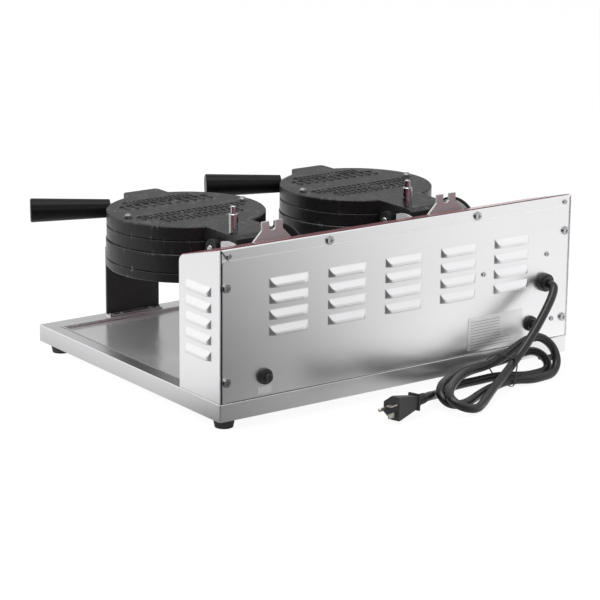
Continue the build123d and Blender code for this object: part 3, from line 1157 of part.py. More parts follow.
# Plug with a ribbed sleeve, two flat blades, one turned across the other, and a round ground pin
def plug():
    x, y, z = BOW_ROUTE[-1]
    aim = Vector(*BOW_ROUTE[-1]) - Vector(*BOW_ROUTE[-2])
    place = Plane(origin=(x + CORD_SHIFT[0], y + CORD_SHIFT[1], DECK + z), z_dir=aim, x_dir=(-aim.Y, aim.X, 0))
    low = (Align.CENTER, Align.CENTER, Align.MIN)
    body = Cone(*PLUG_SLEEVE, PLUG_RELIEF, align=low)
    for i in range(PLUG_RIBS):
        groove = Pos(0, 0, (i + 1) * PLUG_RIB_STEP) * Cylinder(10.0, 1.7)
        body -= groove - Pos(0, 0, (i + 1) * PLUG_RIB_STEP) * Cylinder(PLUG_RIB_CORE, 3)
    wide, tall, thick = PLUG_COLLAR
    body += Pos(0, 0, PLUG_RELIEF) * Box(wide, tall, thick, align=low)
    start = PLUG_RELIEF + thick - 0.5
    front = start + PLUG_FLARE
    body += loft([plug_section(PLUG_SMALL, start), plug_section(PLUG_LARGE, front)], ruled=True)
    body += extrude(plug_section(PLUG_LARGE, front), amount=PLUG_FACE, dir=(0, 0, 1))
    front += PLUG_FACE
    radius, back = BLADE_HOLE
    pins = []
    for side, turn in ((1, 0), (-1, 90)):
        at = Pos(BLADE_X, side * BLADE_SPACING / 2, front) * Rot(0, 0, turn)
        deep, thin = BLADE_SECTION
        body -= at * (Pos(0, 0, -BLADE_ROOT) * Box(deep + 0.1, thin + 0.1, BLADE_ROOT + 1, align=low))
        blade = Pos(0, 0, -BLADE_ROOT) * Box(deep, thin, BLADE_LENGTH + BLADE_ROOT, align=low)
        blade -= Pos(0, 0, BLADE_LENGTH - back) * (Rot(90, 0, 0) * Cylinder(radius, 2 * deep))
        pins.append(at * blade)
    at = Pos(GROUND_X, 0, front - BLADE_ROOT)
    pin = at * Cylinder(GROUND_RADIUS, GROUND_LENGTH + BLADE_ROOT, align=low)
    pins.append(fillet(pin.faces().sort_by(Axis.Z)[-1].edges(), 1.8))
    body -= at * Cylinder(GROUND_RADIUS + 0.05, BLADE_ROOT + 1, align=low)
    keep("plug_body", place * body)
    keep("plug_blades", *[place * piece for piece in pins])


def plug_section(half, z):
    """A flat six-sided section, mirrored about the X axis."""
    corners = list(half) + [(x, -y) for x, y in reversed(half)]
    return make_face(Polyline(*[(x, y, z) for x, y in corners], close=True))


base_pan()
feet()
drip_tray()
side_panels()
rear_panel()
top_panel()
fascia()
box_screws()
labels()
breakers()
strain_relief()
box_inside()
controls()
iron("right", 1)
iron("left", -1)
shared_fixings()
cord()
cord_tie()
plug()

# Origin: the middle of the footprint of everything but the cord and its plug, at the floor
CORD_NODES = ("power_cord", "cord_bow", "cord_tie", "plug_body", "plug_blades")
boxes = [s.bounding_box() for name, found in solids.items() if name not in CORD_NODES for s in found]
middle_x = (min(b.min.X for b in boxes) + max(b.max.X for b in boxes)) / 2
middle_y = (min(b.min.Y for b in boxes) + max(b.max.Y for b in boxes)) / 2
shift = Pos(-middle_x, -middle_y, 0)
print("shift", round(-middle_x, 4), round(-middle_y, 4), "top", round(max(b.max.Z for b in boxes), 3))

os.makedirs("parts", exist_ok=True)
for name, found in solids.items():
    found = [shift * solid for solid in found]
    shape = found[0] if len(found) == 1 else Compound(children=found)
    shape.label = name
    export_step(shape, "parts/" + name + ".step")
    print(name, len(found), round(sum(s.volume for s in found), 1))
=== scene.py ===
import math

import bpy
from mathutils import Matrix, Vector


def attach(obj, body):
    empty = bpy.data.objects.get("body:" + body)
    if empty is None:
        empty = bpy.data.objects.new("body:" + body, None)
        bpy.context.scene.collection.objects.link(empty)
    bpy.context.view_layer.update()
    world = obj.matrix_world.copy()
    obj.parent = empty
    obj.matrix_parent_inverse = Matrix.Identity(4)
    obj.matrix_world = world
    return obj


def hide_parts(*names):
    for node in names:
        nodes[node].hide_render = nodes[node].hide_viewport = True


# The dressed waffle maker: metres, +X to the right seen from the front, +Z up.
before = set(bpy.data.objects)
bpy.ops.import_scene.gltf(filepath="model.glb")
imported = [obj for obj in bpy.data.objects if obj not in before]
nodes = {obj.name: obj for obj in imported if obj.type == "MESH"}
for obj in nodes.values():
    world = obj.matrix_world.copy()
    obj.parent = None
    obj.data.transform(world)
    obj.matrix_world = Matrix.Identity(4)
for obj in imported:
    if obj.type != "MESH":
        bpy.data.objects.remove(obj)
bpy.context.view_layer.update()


# Camera: a long lens that looks at the rear corner from a little above the table,
# so that the rear panel, the right-hand side and both irons show.
azimuth = math.radians(144.2)
elevation = math.radians(15.1)
roll = math.radians(0.5)
behind = Vector((math.sin(azimuth) * math.cos(elevation), -math.cos(azimuth) * math.cos(elevation),
                 math.sin(elevation)))
level = Vector((math.cos(azimuth), math.sin(azimuth), 0.0))
upright = behind.cross(level)
across = level * math.cos(roll) + upright * math.sin(roll)
upward = upright * math.cos(roll) - level * math.sin(roll)
AIM = (-0.00354, 0.0003, 0.0763)
DISTANCE = 3.251
spot = Vector(AIM) + behind * DISTANCE
lens = bpy.data.cameras.new("camera")
lens.sensor_width = 36.0
lens.lens = 145.04
lens.clip_end = 30.0
camera = bpy.data.objects.new("camera", lens)
camera.matrix_world = Matrix(((across.x, upward.x, behind.x, spot.x), (across.y, upward.y, behind.y, spot.y),
                              (across.z, upward.z, behind.z, spot.z), (0.0, 0.0, 0.0, 1.0)))
bpy.context.scene.collection.objects.link(camera)
bpy.context.scene.camera = camera
bpy.context.scene.view_settings.view_transform = "Standard"


# Material writing: a Link is one socket, and sums on it add Math nodes; every node comes
# from the node method of a Shading, and a Surface is one finish with its Principled shader.
class Link:
    def __init__(self, surface, socket):
        self.surface = surface
        self.socket = socket

    def __add__(self, other):
        return self.surface.maths("ADD", self, other)

    def __sub__(self, other):
        return self.surface.maths("SUBTRACT", self, other)

    def __rsub__(self, other):
        return self.surface.maths("SUBTRACT", other, self)

    def __mul__(self, other):
        return self.surface.maths("MULTIPLY", self, other)

    def __pow__(self, other):
        return self.surface.maths("POWER", self, other)

    def held(self):
        """The value kept between 0 and 1."""
        return self.surface.node("ShaderNodeClamp", {}, {"Value": self})

    __radd__ = __add__
    __rmul__ = __mul__


class Shading:
    def __init__(self, tree):
        self.tree = tree

    def feed(self, value, socket):
        if isinstance(value, Link):
            self.tree.links.new(value.socket, socket)
        else:
            socket.default_value = value

    def node(self, kind, settings, sockets, out=0):
        made = self.tree.nodes.new(kind)
        for key, value in settings.items():
            if key == "stops":
                ramp = made.color_ramp
                ramp.elements[0].position = value[0][0]
                ramp.elements[1].position = value[-1][0]
                for place, _ in value[1:-1]:
                    ramp.elements.new(place)
                for stop, (_, colour) in zip(ramp.elements, value):
                    stop.color = (*colour, 1.0)
            else:
                setattr(made, key, value)
        for key, value in sockets.items():
            self.feed(value, made.inputs[key])
        return Link(self, made.outputs[out])

    def maths(self, operation, first, second):
        return self.node("ShaderNodeMath", {"operation": operation}, {0: first, 1: second})

    def unary(self, operation, value):
        return self.node("ShaderNodeMath", {"operation": operation}, {0: value})

    def place(self, kind="Object"):
        """Object coordinates, in metres, or the direction of view in the sky."""
        return self.node("ShaderNodeTexCoord", {}, {}, out=kind)

    def axes(self, kind="Object"):
        """The three coordinates as numbers."""
        return [self.node("ShaderNodeSeparateXYZ", {}, {0: self.place(kind)}, out=i) for i in range(3)]

    def ray(self, kind):
        """1 where light is traced for this kind of ray."""
        return self.node("ShaderNodeLightPath", {}, {}, out=kind)

    def noise(self, scale, detail=2.0, rough=0.5, stretch=(1.0, 1.0, 1.0)):
        """Noise from 0 to 1, with its grains per metre and how it is stretched along the axes."""
        spread = self.node("ShaderNodeMapping", {}, {"Vector": self.place(), "Scale": stretch})
        return self.node("ShaderNodeTexNoise", {}, {"Vector": spread, "Scale": scale, "Detail": detail,
                                                    "Roughness": rough})

    def blend(self, factor, low, high):
        """A colour between two colours."""
        return self.node("ShaderNodeMix", {"data_type": "RGBA"}, {0: factor, 6: (*low, 1.0), 7: (*high, 1.0)}, out=2)

    def step(self, value, low, high):
        """0 below low, 1 above high, and smooth between."""
        return self.node("ShaderNodeMapRange", {"interpolation_type": "SMOOTHSTEP"},
                         {"Value": value, "From Min": low, "From Max": high})

    def band(self, value, rise, fall):
        """1 between two values: it rises over the first pair and falls over the second."""
        return self.step(value, *rise) * (1.0 - self.step(value, *fall))

    def cover(self, mask, under, over):
        """A colour laid over another where the mask is 1."""
        return self.node("ShaderNodeMix", {"data_type": "RGBA"}, {0: mask, 6: under, 7: (*over, 1.0)}, out=2)


class Surface(Shading):
    def __init__(self, name, **fixed):
        self.material = bpy.data.materials.new(name)
        self.material.use_nodes = True
        super().__init__(self.material.node_tree)
        self.shader = self.tree.nodes["Principled BSDF"]
        for socket, value in fixed.items():
            self.shader.inputs[socket.replace("_", " ")].default_value = value

    def rounded(self, radius):
        """The normal with the edges rounded by eye."""
        return self.node("ShaderNodeBevel", {"samples": 6}, {"Radius": radius})

    def finish(self, colour, roughness, height, depth, soft=0.0, metallic=None):
        """Join what changes over the surface to the shader, and give back the material. The bump
        stands depth metres high, on edges rounded by soft metres."""
        sockets = {"Height": height, "Distance": depth, "Strength": 1.0}
        if soft:
            sockets["Normal"] = self.rounded(soft)
        self.feed(colour, self.shader.inputs["Base Color"])
        self.feed(roughness, self.shader.inputs["Roughness"])
        if metallic is not None:
            self.feed(metallic, self.shader.inputs["Metallic"])
        self.feed(self.node("ShaderNodeBump", {}, sockets), self.shader.inputs["Normal"])
        return self.material


def dress(material, *names):
    """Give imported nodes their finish."""
    for name in names:
        nodes[name].data.materials.clear()
        nodes[name].data.materials.append(material)


def both(name):
    """The node of each iron."""
    return name + "_right", name + "_left"


# Studio floor: pale, white to the lens with a faint shadow. What the steel mirrors of it is
# darker behind the waffle maker, carries a painted shadow in a band beside it, and falls off towards the right-hand
# side.
ground = Surface("studio_floor", Base_Color=(0.88, 0.88, 0.88, 1.0), Roughness=0.9)
x, y, z = ground.axes()
dusk = (0.645 - 1.75 * x - 0.75 * y).held() * 1.1
card = ground.step(y, 0.0, 0.25)
lift = (1.0 - ground.step(y, 0.3, 0.42)) * 0.14
# Painted shadow: a dark band beside the base, seen only in the steel.
painted_side_shadow = ground.band(x, (0.24, 0.27), (0.29, 0.37))
far = ground.step(x, 0.55, 0.95)
patch = ground.band(x, (-0.38, -0.27), (-0.14, -0.03)) * ground.band(y, (0.3, 0.37), (0.48, 0.58)) * 0.3
mirrored = (1.0 - card * (1.0 - dusk - lift)) * (1.0 - painted_side_shadow * 0.35) * (1.0 - far * 0.12) + patch
seen = ground.ray("Is Camera Ray")
glossy = ground.ray("Is Glossy Ray")
through = ground.ray("Is Transmission Ray")
glow = ground.node("ShaderNodeEmission", {}, {"Color": (1.0, 1.0, 1.0, 1.0),
                                             "Strength": seen * 1.04 + through + glossy * mirrored})
shown = ground.node("ShaderNodeMixShader", {}, {0: (seen * 0.88 + glossy * 0.9 + through * 0.85).held(),
                                               1: Link(ground, ground.shader.outputs[0]), 2: glow})
ground.feed(shown, ground.tree.nodes["Material Output"].inputs["Surface"])


def studio_sheet(name, corners, material):
    """A flat four-cornered sheet of the studio."""
    mesh = bpy.data.meshes.new(name)
    mesh.from_pydata(corners, [], [(0, 1, 2, 3)])
    mesh.materials.append(material)
    sheet = bpy.data.objects.new(name, mesh)
    bpy.context.scene.collection.objects.link(sheet)
    return sheet


FLOOR_REACH = 12.0
floor = studio_sheet("studio_floor", [(-FLOOR_REACH, -FLOOR_REACH, 0.0), (FLOOR_REACH, -FLOOR_REACH, 0.0),
                                      (FLOOR_REACH, FLOOR_REACH, 0.0), (-FLOOR_REACH, FLOOR_REACH, 0.0)],
                     ground.material)


# World: plain light, with brighter and darker parts that only mirrored rays meet, in front of
# the waffle maker and behind it.
world = bpy.data.worlds.new("studio")
world.use_nodes = True
bpy.context.scene.world = world
sky = Shading(world.node_tree)
x, y, z = sky.axes("Generated")
seen = sky.ray("Is Camera Ray")
glossy = sky.ray("Is Glossy Ray")
rear = sky.step(y, -0.1, 0.4)
front_glow = 0.46 + sky.step(x, -0.35, 0.4) * 0.55 + sky.step(z, 0.35, 0.6) * 0.6
front_glow = front_glow + sky.step(x, 0.2, 0.5) * sky.step(z, 0.12, 0.3) * 0.3
rear_glow = (0.5 - 0.6 * x).held()
side_dark = 1.0 - sky.step(x, 0.7, 0.88) * 0.75
reflected = (front_glow * (1.0 - rear) + rear_glow * rear) * side_dark
plain = 0.62 + seen * 0.38
sky.feed(plain * (1.0 - glossy) + reflected * glossy, world.node_tree.nodes["Background"].inputs["Strength"])
world.node_tree.nodes["Background"].inputs["Color"].default_value = (1.0, 1.0, 1.0, 1.0)


# Upright card behind the waffle maker, seen only in its steel: brighter towards the left-hand
# side, and bright all along its upper part, which the louvres mirror.
panel_card = Surface("studio_card")
x, y, z = panel_card.axes()
high = panel_card.step(z, 0.48, 0.6)
lower = 0.2 + panel_card.step(0.0 - x, 0.3, 1.0) * 0.9
lit = panel_card.node("ShaderNodeEmission", {}, {"Color": (1.0, 1.0, 1.0, 1.0),
                                                 "Strength": lower * (1.0 - high) + high * 1.2})
panel_card.feed(lit, panel_card.tree.nodes["Material Output"].inputs["Surface"])
CARD_Y = 1.05
reflector = studio_sheet("studio_card", [(-1.9, CARD_Y, 0.3), (0.5, CARD_Y, 0.3),
                                         (0.5, CARD_Y, 1.6), (-1.9, CARD_Y, 1.6)], panel_card.material)
reflector.visible_camera = False
reflector.visible_diffuse = False
reflector.visible_transmission = False
reflector.visible_shadow = False


# Lamps: a soft key on the right-hand side, a weak fill behind and one lamp overhead.
def softbox(name, at, size, power, in_mirrors=True):
    """A square area light aimed at the middle of the waffle maker."""
    light = bpy.data.lights.new(name, "AREA")
    light.shape = "SQUARE"
    light.size = size
    light.energy = power
    lamp = bpy.data.objects.new(name, light)
    lamp.location = at
    lamp.rotation_euler = (Vector((0.0, 0.0, 0.1)) - Vector(at)).to_track_quat("-Z", "Y").to_euler()
    lamp.visible_glossy = in_mirrors
    bpy.context.scene.collection.objects.link(lamp)


softbox("key", (2.2, -0.9, 1.6), 1.4, 55.0, in_mirrors=False)
softbox("fill", (0.9, 2.6, 1.7), 1.2, 12.0)
softbox("overhead", (0.2, 0.2, 2.8), 1.6, 30.0)


# Power cord: a three-core rubber lead, 11.4 mm across. It leaves the bushing, drops to the table,
# lies in a figure-of-eight bow held by a tie, and ends in its plug.
CORD_RADIUS = 0.0057
CORD_ROUTE = [
    (-0.2424, 0.2313, 0.1145), (-0.2424, 0.2393, 0.1145), (-0.2384, 0.2463, 0.1105),
    (-0.2284, 0.2523, 0.1005), (-0.2154, 0.2568, 0.0875), (-0.2004, 0.2613, 0.0735),
    (-0.1844, 0.2658, 0.0595), (-0.1674, 0.2703, 0.0465), (-0.1504, 0.2748, 0.0355),
    (-0.1344, 0.2803, 0.0265), (-0.1164, 0.2873, 0.0195), (-0.0944, 0.2983, 0.0135),
    (-0.0724, 0.3123, 0.0085), (-0.0524, 0.3263, 0.0059), (-0.0334, 0.3393, 0.0070),
    (-0.0154, 0.3408, 0.0110), (-0.0049, 0.3313, 0.0165), (-0.0064, 0.3163, 0.0220),
    (-0.0199, 0.3013, 0.0250), (-0.0364, 0.2873, 0.0255), (-0.0554, 0.2723, 0.0255),
    (-0.0754, 0.2593, 0.0250), (-0.0964, 0.2513, 0.0250), (-0.1164, 0.2503, 0.0255),
    (-0.1364, 0.2493, 0.0285), (-0.1564, 0.2483, 0.0345), (-0.1754, 0.2463, 0.0425),
    (-0.1954, 0.2453, 0.0490), (-0.2164, 0.2453, 0.0505), (-0.2320, 0.2538, 0.0375),
    (-0.2320, 0.2658, 0.0189), (-0.2174, 0.2743, 0.0059), (-0.1964, 0.2783, 0.0059),
    (-0.1744, 0.2793, 0.0059), (-0.1544, 0.2753, 0.0084), (-0.1334, 0.2733, 0.0084),
    (-0.1104, 0.2773, 0.0059), (-0.0874, 0.2863, 0.0059), (-0.0654, 0.2978, 0.0059),
    (-0.0444, 0.3088, 0.0059), (-0.0274, 0.3123, 0.0059), (-0.0139, 0.3078, 0.0085),
    (-0.0104, 0.2973, 0.0145), (-0.0159, 0.2863, 0.0205), (-0.0289, 0.2748, 0.0235),
    (-0.0444, 0.2633, 0.0225), (-0.0604, 0.2518, 0.0210), (-0.0794, 0.2423, 0.0200),
    (-0.0984, 0.2363, 0.0200), (-0.1184, 0.2348, 0.0205), (-0.1384, 0.2343, 0.0215),
    (-0.1584, 0.2333, 0.0220), (-0.1784, 0.2323, 0.0235), (-0.1984, 0.2323, 0.0270),
    (-0.2184, 0.2328, 0.0270), (-0.2284, 0.2403, 0.0205), (-0.2284, 0.2513, 0.0120),
    (-0.2184, 0.2591, 0.0059), (-0.2004, 0.2623, 0.0059), (-0.1784, 0.2623, 0.0059),
    (-0.1584, 0.2573, 0.0084), (-0.1384, 0.2483, 0.0084), (-0.1144, 0.2438, 0.0059),
    (-0.0904, 0.2433, 0.0059), (-0.0684, 0.2458, 0.0059), (-0.0494, 0.2518, 0.0059),
    (-0.0339, 0.2618, 0.0070), (-0.0194, 0.2718, 0.0100), (-0.0069, 0.2813, 0.0140),
    (0.0036, 0.2888, 0.0170), (0.0151, 0.2926, 0.0175)]
rubber = Surface("cord_rubber", IOR=1.46)
grain = rubber.noise(900.0, 3.0, 0.6)
bloom = rubber.noise(30.0, 2.0)
jacket = rubber.finish(colour=rubber.blend(bloom, (0.005, 0.005, 0.0055), (0.012, 0.012, 0.013)),
                       roughness=0.2 + grain * 0.08 + bloom * 0.1, height=grain, depth=0.00002)


def cable(name, route, radius, material):
    """A round smooth-curved piece along a route of points."""
    line = bpy.data.curves.new(name, "CURVE")
    line.dimensions = "3D"
    line.resolution_u = 8
    line.bevel_depth = radius
    line.bevel_resolution = 6
    line.use_fill_caps = True
    spline = line.splines.new("NURBS")
    spline.points.add(len(route) - 1)
    for point, place in zip(spline.points, route):
        point.co = (*place, 1.0)
    spline.order_u = 3
    spline.use_endpoint_u = True
    line.materials.append(material)
    made = bpy.data.objects.new(name, line)
    bpy.context.scene.collection.objects.link(made)
    return made


mains_cord = cable("mains_cord", CORD_ROUTE, CORD_RADIUS, jacket)
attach(mains_cord, "chassis")
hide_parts("power_cord", "cord_bow")


# Twist tie: a plastic-covered wire round the waist of the bow, with its two ends twisted.
sleeve = Surface("tie_plastic", IOR=1.48)
crease = sleeve.noise(600.0, 2.0)
dress(sleeve.finish(colour=sleeve.blend(crease, (0.012, 0.012, 0.013), (0.03, 0.03, 0.032)),
                    roughness=0.3 + crease * 0.2, height=crease, depth=0.0001), "cord_tie")


# Plug: moulded black rubber with a ribbed sleeve, two flat nickel-plated brass blades
# and a round ground pin.
moulding = Surface("plug_rubber", IOR=1.5)
pebble = moulding.noise(1400.0, 3.0, 0.6)
sheen = moulding.noise(60.0, 2.0)
dress(moulding.finish(colour=moulding.blend(sheen, (0.02, 0.02, 0.021), (0.038, 0.038, 0.04)),
                      roughness=0.4 + sheen * 0.14, height=pebble, depth=0.00003), "plug_body")
nickel = Surface("blade_nickel", Metallic=1.0)
scratch = nickel.noise(500.0, 3.0, 0.6, (1.0, 1.0, 6.0))
dress(nickel.finish(colour=nickel.blend(scratch, (0.62, 0.58, 0.48), (0.8, 0.77, 0.7)),
                    roughness=0.16 + scratch * 0.16, height=scratch, depth=0.00003), "plug_blades")


# Base pan: one sheet of brushed stainless steel, folded down into a skirt all round.
def brushed_steel(name, along, dark, light, rough, shade=None, line=None, soft=0.0):
    """Brushed sheet with hair lines along one axis (0 is X), soft handling marks, and where they
    are given painted shade in the gap between two values of X and a painted white highlight line at one value of Z."""
    steel = Surface(name, Metallic=1.0)
    stretch = [1.0, 1.0, 1.0]
    stretch[along] = 0.015
    hair = steel.noise(1500.0, 1.0, 0.5, stretch)
    cloud = steel.noise(9.0, 3.0, 0.55)
    smear = steel.step(steel.noise(26.0, 4.0, 0.6), 0.55, 0.8)
    colour = steel.blend(hair * 0.5 + cloud * 0.5, dark, light)
    x, y, z = steel.axes()
    # Painted shade: near black where the flange shows in the gap.
    if shade:
        near, far = shade
        painted_gap_shade = steel.band(x, (near - 0.0001, near + 0.0001), (far - 0.0001, far + 0.0001))
        colour = steel.cover(painted_gap_shade, colour, (0.03, 0.03, 0.03))
    # Painted highlight: a white, rougher line at one height.
    if line:
        painted_highlight_line = 1.0 - steel.step(steel.unary("ABSOLUTE", z - line), 0.0004, 0.0007)
        colour = steel.cover(painted_highlight_line, colour, (1.0, 1.0, 1.0))
        rough = rough + painted_highlight_line * 0.4
    return steel.finish(colour=colour, roughness=rough + (hair - 0.5) * 0.07 + smear * 0.05,
                        height=hair, depth=0.000001, soft=soft)


dress(brushed_steel("base_steel", 0, (0.68, 0.68, 0.69), (0.8, 0.8, 0.81), 0.34), "base_pan")


# Feet: four tapered rubber pads, each with a zinc screw through the lip of the pan.
foot = Surface("foot_rubber", IOR=1.5)
pit = foot.noise(700.0, 3.0, 0.6)
dress(foot.finish(colour=foot.blend(pit, (0.014, 0.014, 0.014), (0.035, 0.034, 0.033)),
                  roughness=0.55 + pit * 0.2, height=pit, depth=0.0001), "foot_pads")
zinc = Surface("screw_zinc", Metallic=1.0)
spangle = zinc.noise(300.0, 2.0)
screw_metal = zinc.finish(colour=zinc.blend(spangle, (0.34, 0.34, 0.35), (0.58, 0.58, 0.59)),
                          roughness=0.08 + spangle * 0.12, height=spangle, depth=0.00001)
dress(screw_metal, "foot_screws", "panel_screws", "iron_screws", "hinge_washers")


# Drip tray: a loose pan of thin stainless sheet, with a rolled rim, scuffed by cleaning.
tray = Surface("tray_steel", Metallic=0.72)
drawn = tray.noise(1400.0, 1.0, 0.5, (0.015, 1.0, 1.0))
wiped = tray.step(tray.noise(14.0, 4.0, 0.6), 0.45, 0.75)
dress(tray.finish(colour=tray.blend(drawn, (0.7, 0.7, 0.71), (0.84, 0.84, 0.85)),
                  roughness=0.17 + wiped * 0.1 + (drawn - 0.5) * 0.08, height=drawn, depth=0.000002), "drip_tray")


# Side panels: brushed sheet with five pressed louvres and a flange behind the rear panel,
# which shows in the gap between the two and is painted near black there, as shade.
PRESSED_EDGE = 0.0018
FLANGE_GAP = (0.27, 0.2723)
dress(brushed_steel("side_steel", 2, (0.8, 0.8, 0.81), (0.9, 0.9, 0.91), 0.34, shade=FLANGE_GAP, soft=PRESSED_EDGE),
      "side_panel_right", "side_panel_left")


# Rear panel: brushed sheet with five columns of four louvres, screwed to the side flanges.
dress(brushed_steel("rear_steel", 0, (0.76, 0.76, 0.77), (0.86, 0.86, 0.87), 0.3, soft=PRESSED_EDGE), "rear_panel")


# Top panel: the sloping top, the front face and the strip behind, in one folded sheet.
# A painted highlight, a white line, runs along the bottom of the strip.
STRIP_EDGE = 0.2138
dress(brushed_steel("top_steel", 0, (0.74, 0.74, 0.75), (0.86, 0.86, 0.87), 0.3, line=STRIP_EDGE), "top_panel")


# Fascia: a burgundy enamelled skin over the slope and the front of the box.
enamel = Surface("burgundy_enamel", IOR=1.5)
enamel.shader.inputs["Coat Weight"].default_value = 0.6
enamel.shader.inputs["Coat Roughness"].default_value = 0.12
peel = enamel.noise(260.0, 2.0)
tint = enamel.noise(12.0, 2.0)
dress(enamel.finish(colour=enamel.blend(tint, (0.15, 0.018, 0.033), (0.2, 0.028, 0.047)),
                    roughness=0.3 + peel * 0.1, height=peel, depth=0.00004), "fascia")


# Labels: a foil rating plate with ruled lines and a small plate under the reset button,
# both without words.
foil = Surface("label_foil", Metallic=0.85)
x, y, z = foil.axes()
fibre = foil.noise(800.0, 2.0)
LINES_LOW, LINES_HIGH, LINES_PER_METRE = 0.0425, 0.0795, 260.0
row = (z - LINES_LOW) * LINES_PER_METRE
stroke = 1.0 - foil.step(foil.unary("FRACT", row), 0.16, 0.2)
lowest = 1.0 - foil.step(z, 0.0538, 0.0539)
reach = foil.step(x + lowest * 0.019, -0.1685, -0.1683) * (1.0 - foil.step(x, -0.1187, -0.1185))
ink = stroke * reach * foil.band(z, (LINES_LOW, LINES_LOW + 0.0001), (LINES_HIGH, LINES_HIGH + 0.0001)) * 0.75
paper = foil.blend(fibre, (0.76, 0.76, 0.77), (0.84, 0.84, 0.85))
ruled = foil.cover(ink, paper, (0.12, 0.12, 0.13))
dress(foil.finish(colour=ruled, roughness=0.35 + fibre * 0.15, height=fibre, depth=0.00001), "labels")


# Black nylon: the nuts and buttons of the reset breakers, the cord bushing, the knobs and
# rockers in front, and what stands behind them in the box.
nylon = Surface("black_nylon", IOR=1.5)
mottle = nylon.noise(500.0, 3.0, 0.6)
black_nylon = nylon.finish(colour=nylon.blend(mottle, (0.014, 0.014, 0.015), (0.03, 0.03, 0.032)),
                           roughness=0.24 + mottle * 0.14, height=mottle, depth=0.00002)
dress(black_nylon, "breaker_right", "breaker_left", "reset_button_right", "reset_button_left", "strain_relief")
dress(black_nylon, "timer_knob_right", "timer_knob_left", "power_rocker_right", "power_rocker_left")
dress(black_nylon, "switch_housings", "timer_bodies", "relay")


# Terminal block: off-white moulded nylon behind the rear panel.
ivory = Surface("ivory_nylon", IOR=1.5)
speck = ivory.noise(400.0, 2.0)
dress(ivory.finish(colour=ivory.blend(speck, (0.66, 0.64, 0.58), (0.76, 0.74, 0.68)),
                   roughness=0.4 + speck * 0.15, height=speck, depth=0.00004), "terminal_block")


# Pilot lamps: ribbed red lenses in a bezel, one over each rocker.
lens_red = Surface("lamp_lens", IOR=1.49)
x, y, z = lens_red.axes()
ribs = lens_red.unary("SINE", x * 6000.0)
dress(lens_red.finish(colour=lens_red.blend(ribs * 0.5 + 0.5, (0.5, 0.03, 0.015), (0.75, 0.08, 0.04)),
                      roughness=0.12 + ribs * 0.04, height=ribs, depth=0.0001), "pilot_lamps")


# Castings: sand-cast discs with a black baked coat, polished unevenly by use. Along the rims
# and on the edges of the raised bars they are paler, partly from use and partly painted highlight.
def black_casting(name, rims, low, high, rubbed_and_lit, rough):
    """A cast disc, with paler lines at the heights of its rims, partly worn and partly painted highlight."""
    iron = Surface(name, IOR=1.36)
    x, y, z = iron.axes()
    sand = iron.noise(330.0, 4.0, 0.7)
    patch = iron.step(iron.noise(34.0, 4.0, 0.65), 0.48, 0.7)
    drag = iron.step(iron.noise(200.0, 3.0, 0.7, (1.0, 1.0, 0.16)), 0.48, 0.72)
    worn = iron.step(iron.noise(75.0, 4.0, 0.7, (1.0, 1.0, 0.6)), 0.5, 0.68)
    # Paler lines at the rim heights: worn, and a painted highlight.
    rim_wear_and_highlight = 0.0
    for height in rims:
        away = iron.unary("ABSOLUTE", z - height)
        rim_wear_and_highlight = (1.0 - iron.step(away, 0.0006, 0.0046)) + rim_wear_and_highlight
    # Rounded rims of the bar tops: worn paleness and a painted highlight.
    flat = iron.node("ShaderNodeNewGeometry", {}, {}, out="Normal")
    agree = iron.node("ShaderNodeVectorMath", {"operation": "DOT_PRODUCT"}, {0: iron.rounded(0.001), 1: flat},
                      out="Value")
    bar_wear_and_highlight = iron.step(1.0 - agree, 0.02, 0.16) * iron.step(z, COVER_TOP - 0.0022, COVER_TOP - 0.0002)
    wear_and_highlight = (rim_wear_and_highlight * patch * drag + worn * drag * 0.16 + bar_wear_and_highlight * (0.35 + patch * 0.5)).held()
    tone = iron.cover(wear_and_highlight, iron.blend(sand, low, high), rubbed_and_lit)
    return iron.finish(colour=tone, roughness=rough + (sand - 0.5) * 0.3 - worn * 0.08,
                       height=sand * 0.75 + patch * 0.25, depth=0.00022, soft=0.0008)


COVER_TOP = 0.2067
RIMS = (0.1323, 0.145, 0.1701, 0.188, COVER_TOP)
cast = black_casting("cast_coat", RIMS, (0.002, 0.002, 0.002), (0.012, 0.012, 0.0125), (0.17, 0.17, 0.175), 0.34)
dress(cast, *both("upper_cover"), *both("upper_plate"), *both("lower_plate"), *both("lower_cover"))


# Heating elements: two rings of heat-blued steel tube in each casting.
blued = Surface("element_tube", Metallic=1.0)
heat = blued.noise(40.0, 3.0)
dress(blued.finish(colour=blued.blend(heat, (0.2, 0.17, 0.15), (0.4, 0.37, 0.36)),
                   roughness=0.35 + heat * 0.2, height=heat, depth=0.0001),
      *both("upper_element"), *both("lower_element"))


# Posts, hinge pins and handle studs: turned steel with chrome plate. The cover screws are
# plain steel, darkened by the heat.
plate = Surface("chrome_plate", Metallic=1.0)
ring = plate.noise(900.0, 2.0, 0.5, (0.05, 0.05, 1.0))
dress(plate.finish(colour=plate.blend(ring, (0.34, 0.35, 0.36), (0.5, 0.51, 0.52)),
                   roughness=0.05 + ring * 0.07, height=ring, depth=0.000002),
      *both("lug_post"), *both("hinge_pin"), *both("handle_stud"))
dark_plate = Surface("bolt_steel", Metallic=1.0)
burnt = dark_plate.noise(300.0, 3.0)
dress(dark_plate.finish(colour=dark_plate.blend(burnt, (0.12, 0.12, 0.13), (0.34, 0.34, 0.35)),
                        roughness=0.25 + burnt * 0.2, height=burnt, depth=0.00005), *both("cover_bolts"))


# Handle grips: tapered black phenolic, moulded and lightly polished.
phenolic = Surface("grip_phenolic", IOR=1.21)
flow = phenolic.noise(120.0, 3.0, 0.6, (1.0, 1.0, 0.3))
dress(phenolic.finish(colour=phenolic.blend(flow, (0.002, 0.002, 0.002), (0.007, 0.007, 0.008)),
                      roughness=0.3 + flow * 0.1, height=flow, depth=0.00001), *both("handle_grip"))
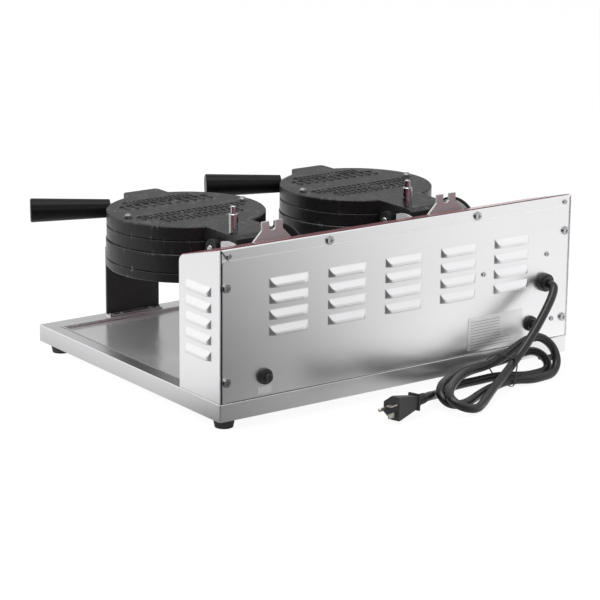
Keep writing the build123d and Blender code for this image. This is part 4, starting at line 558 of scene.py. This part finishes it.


# Hinge brackets: bare pressed steel, a notched plate with two cheeks. Painted shade darkens
# the left-hand cheek of the right iron, and the rim of the left iron's left-hand cheek.
pressed = Surface("bracket_steel", Metallic=0.45)
x, y, z = pressed.axes()
roll_mark = pressed.noise(900.0, 3.0, 0.6, (1.0, 1.0, 0.08))
stain = pressed.noise(30.0, 3.0)
CHEEK_Y, CHEEK_Z, CHEEK_RADIUS = 0.0923, 0.1565, 0.0515
arc = (pressed.unary("ABSOLUTE", y - CHEEK_Y) ** 2.0 + pressed.unary("ABSOLUTE", z - CHEEK_Z) ** 2.0) ** 0.5
ahead = 1.0 - pressed.step(y, 0.1262, 0.127)
right_cheek = pressed.band(x, (0.0, 0.01), (0.0876, 0.088))
left_cheek = 1.0 - pressed.step(x, -0.1925, -0.192)
# Painted shade: near black on these cheek areas.
dark = ahead * (right_cheek + left_cheek * pressed.step(arc, CHEEK_RADIUS, CHEEK_RADIUS + 0.0007))
face = pressed.blend(stain, (0.42, 0.42, 0.425), (0.53, 0.53, 0.535))
dress(pressed.finish(colour=pressed.cover(dark, face, (0.012, 0.012, 0.012)), roughness=0.45 + roll_mark * 0.16,
                     height=roll_mark, depth=0.000005), *both("hinge_bracket"))


# Support legs: folded plates with a satin black coat, screwed to the rim of the pan by a
# flange that is bare steel.
coat = Surface("leg_coat", IOR=1.48)
orange_peel = coat.noise(420.0, 2.0)
dust = coat.noise(22.0, 3.0)
x, y, z = coat.axes()
FLANGE_TOP = 0.0376
bare = 1.0 - coat.step(z, FLANGE_TOP, FLANGE_TOP + 0.0004)
skin = coat.cover(bare, coat.blend(dust, (0.03, 0.03, 0.031), (0.046, 0.046, 0.047)), (0.7, 0.7, 0.71))
dress(coat.finish(colour=skin, roughness=0.36 + orange_peel * 0.14, height=orange_peel, depth=0.00002, metallic=bare),
      *both("support_leg"))


# Heater leads: a conduit under each iron and a sleeved lead from the hollow hinge pin.
braid = Surface("lead_sleeve", Metallic=0.6)
weave = braid.node("ShaderNodeTexChecker", {}, {"Vector": braid.place(), "Scale": 900.0}, out="Fac")
dress(braid.finish(colour=braid.blend(weave, (0.3, 0.29, 0.27), (0.5, 0.49, 0.47)),
                   roughness=0.45 + weave * 0.15, height=weave, depth=0.0001), "heater_leads")
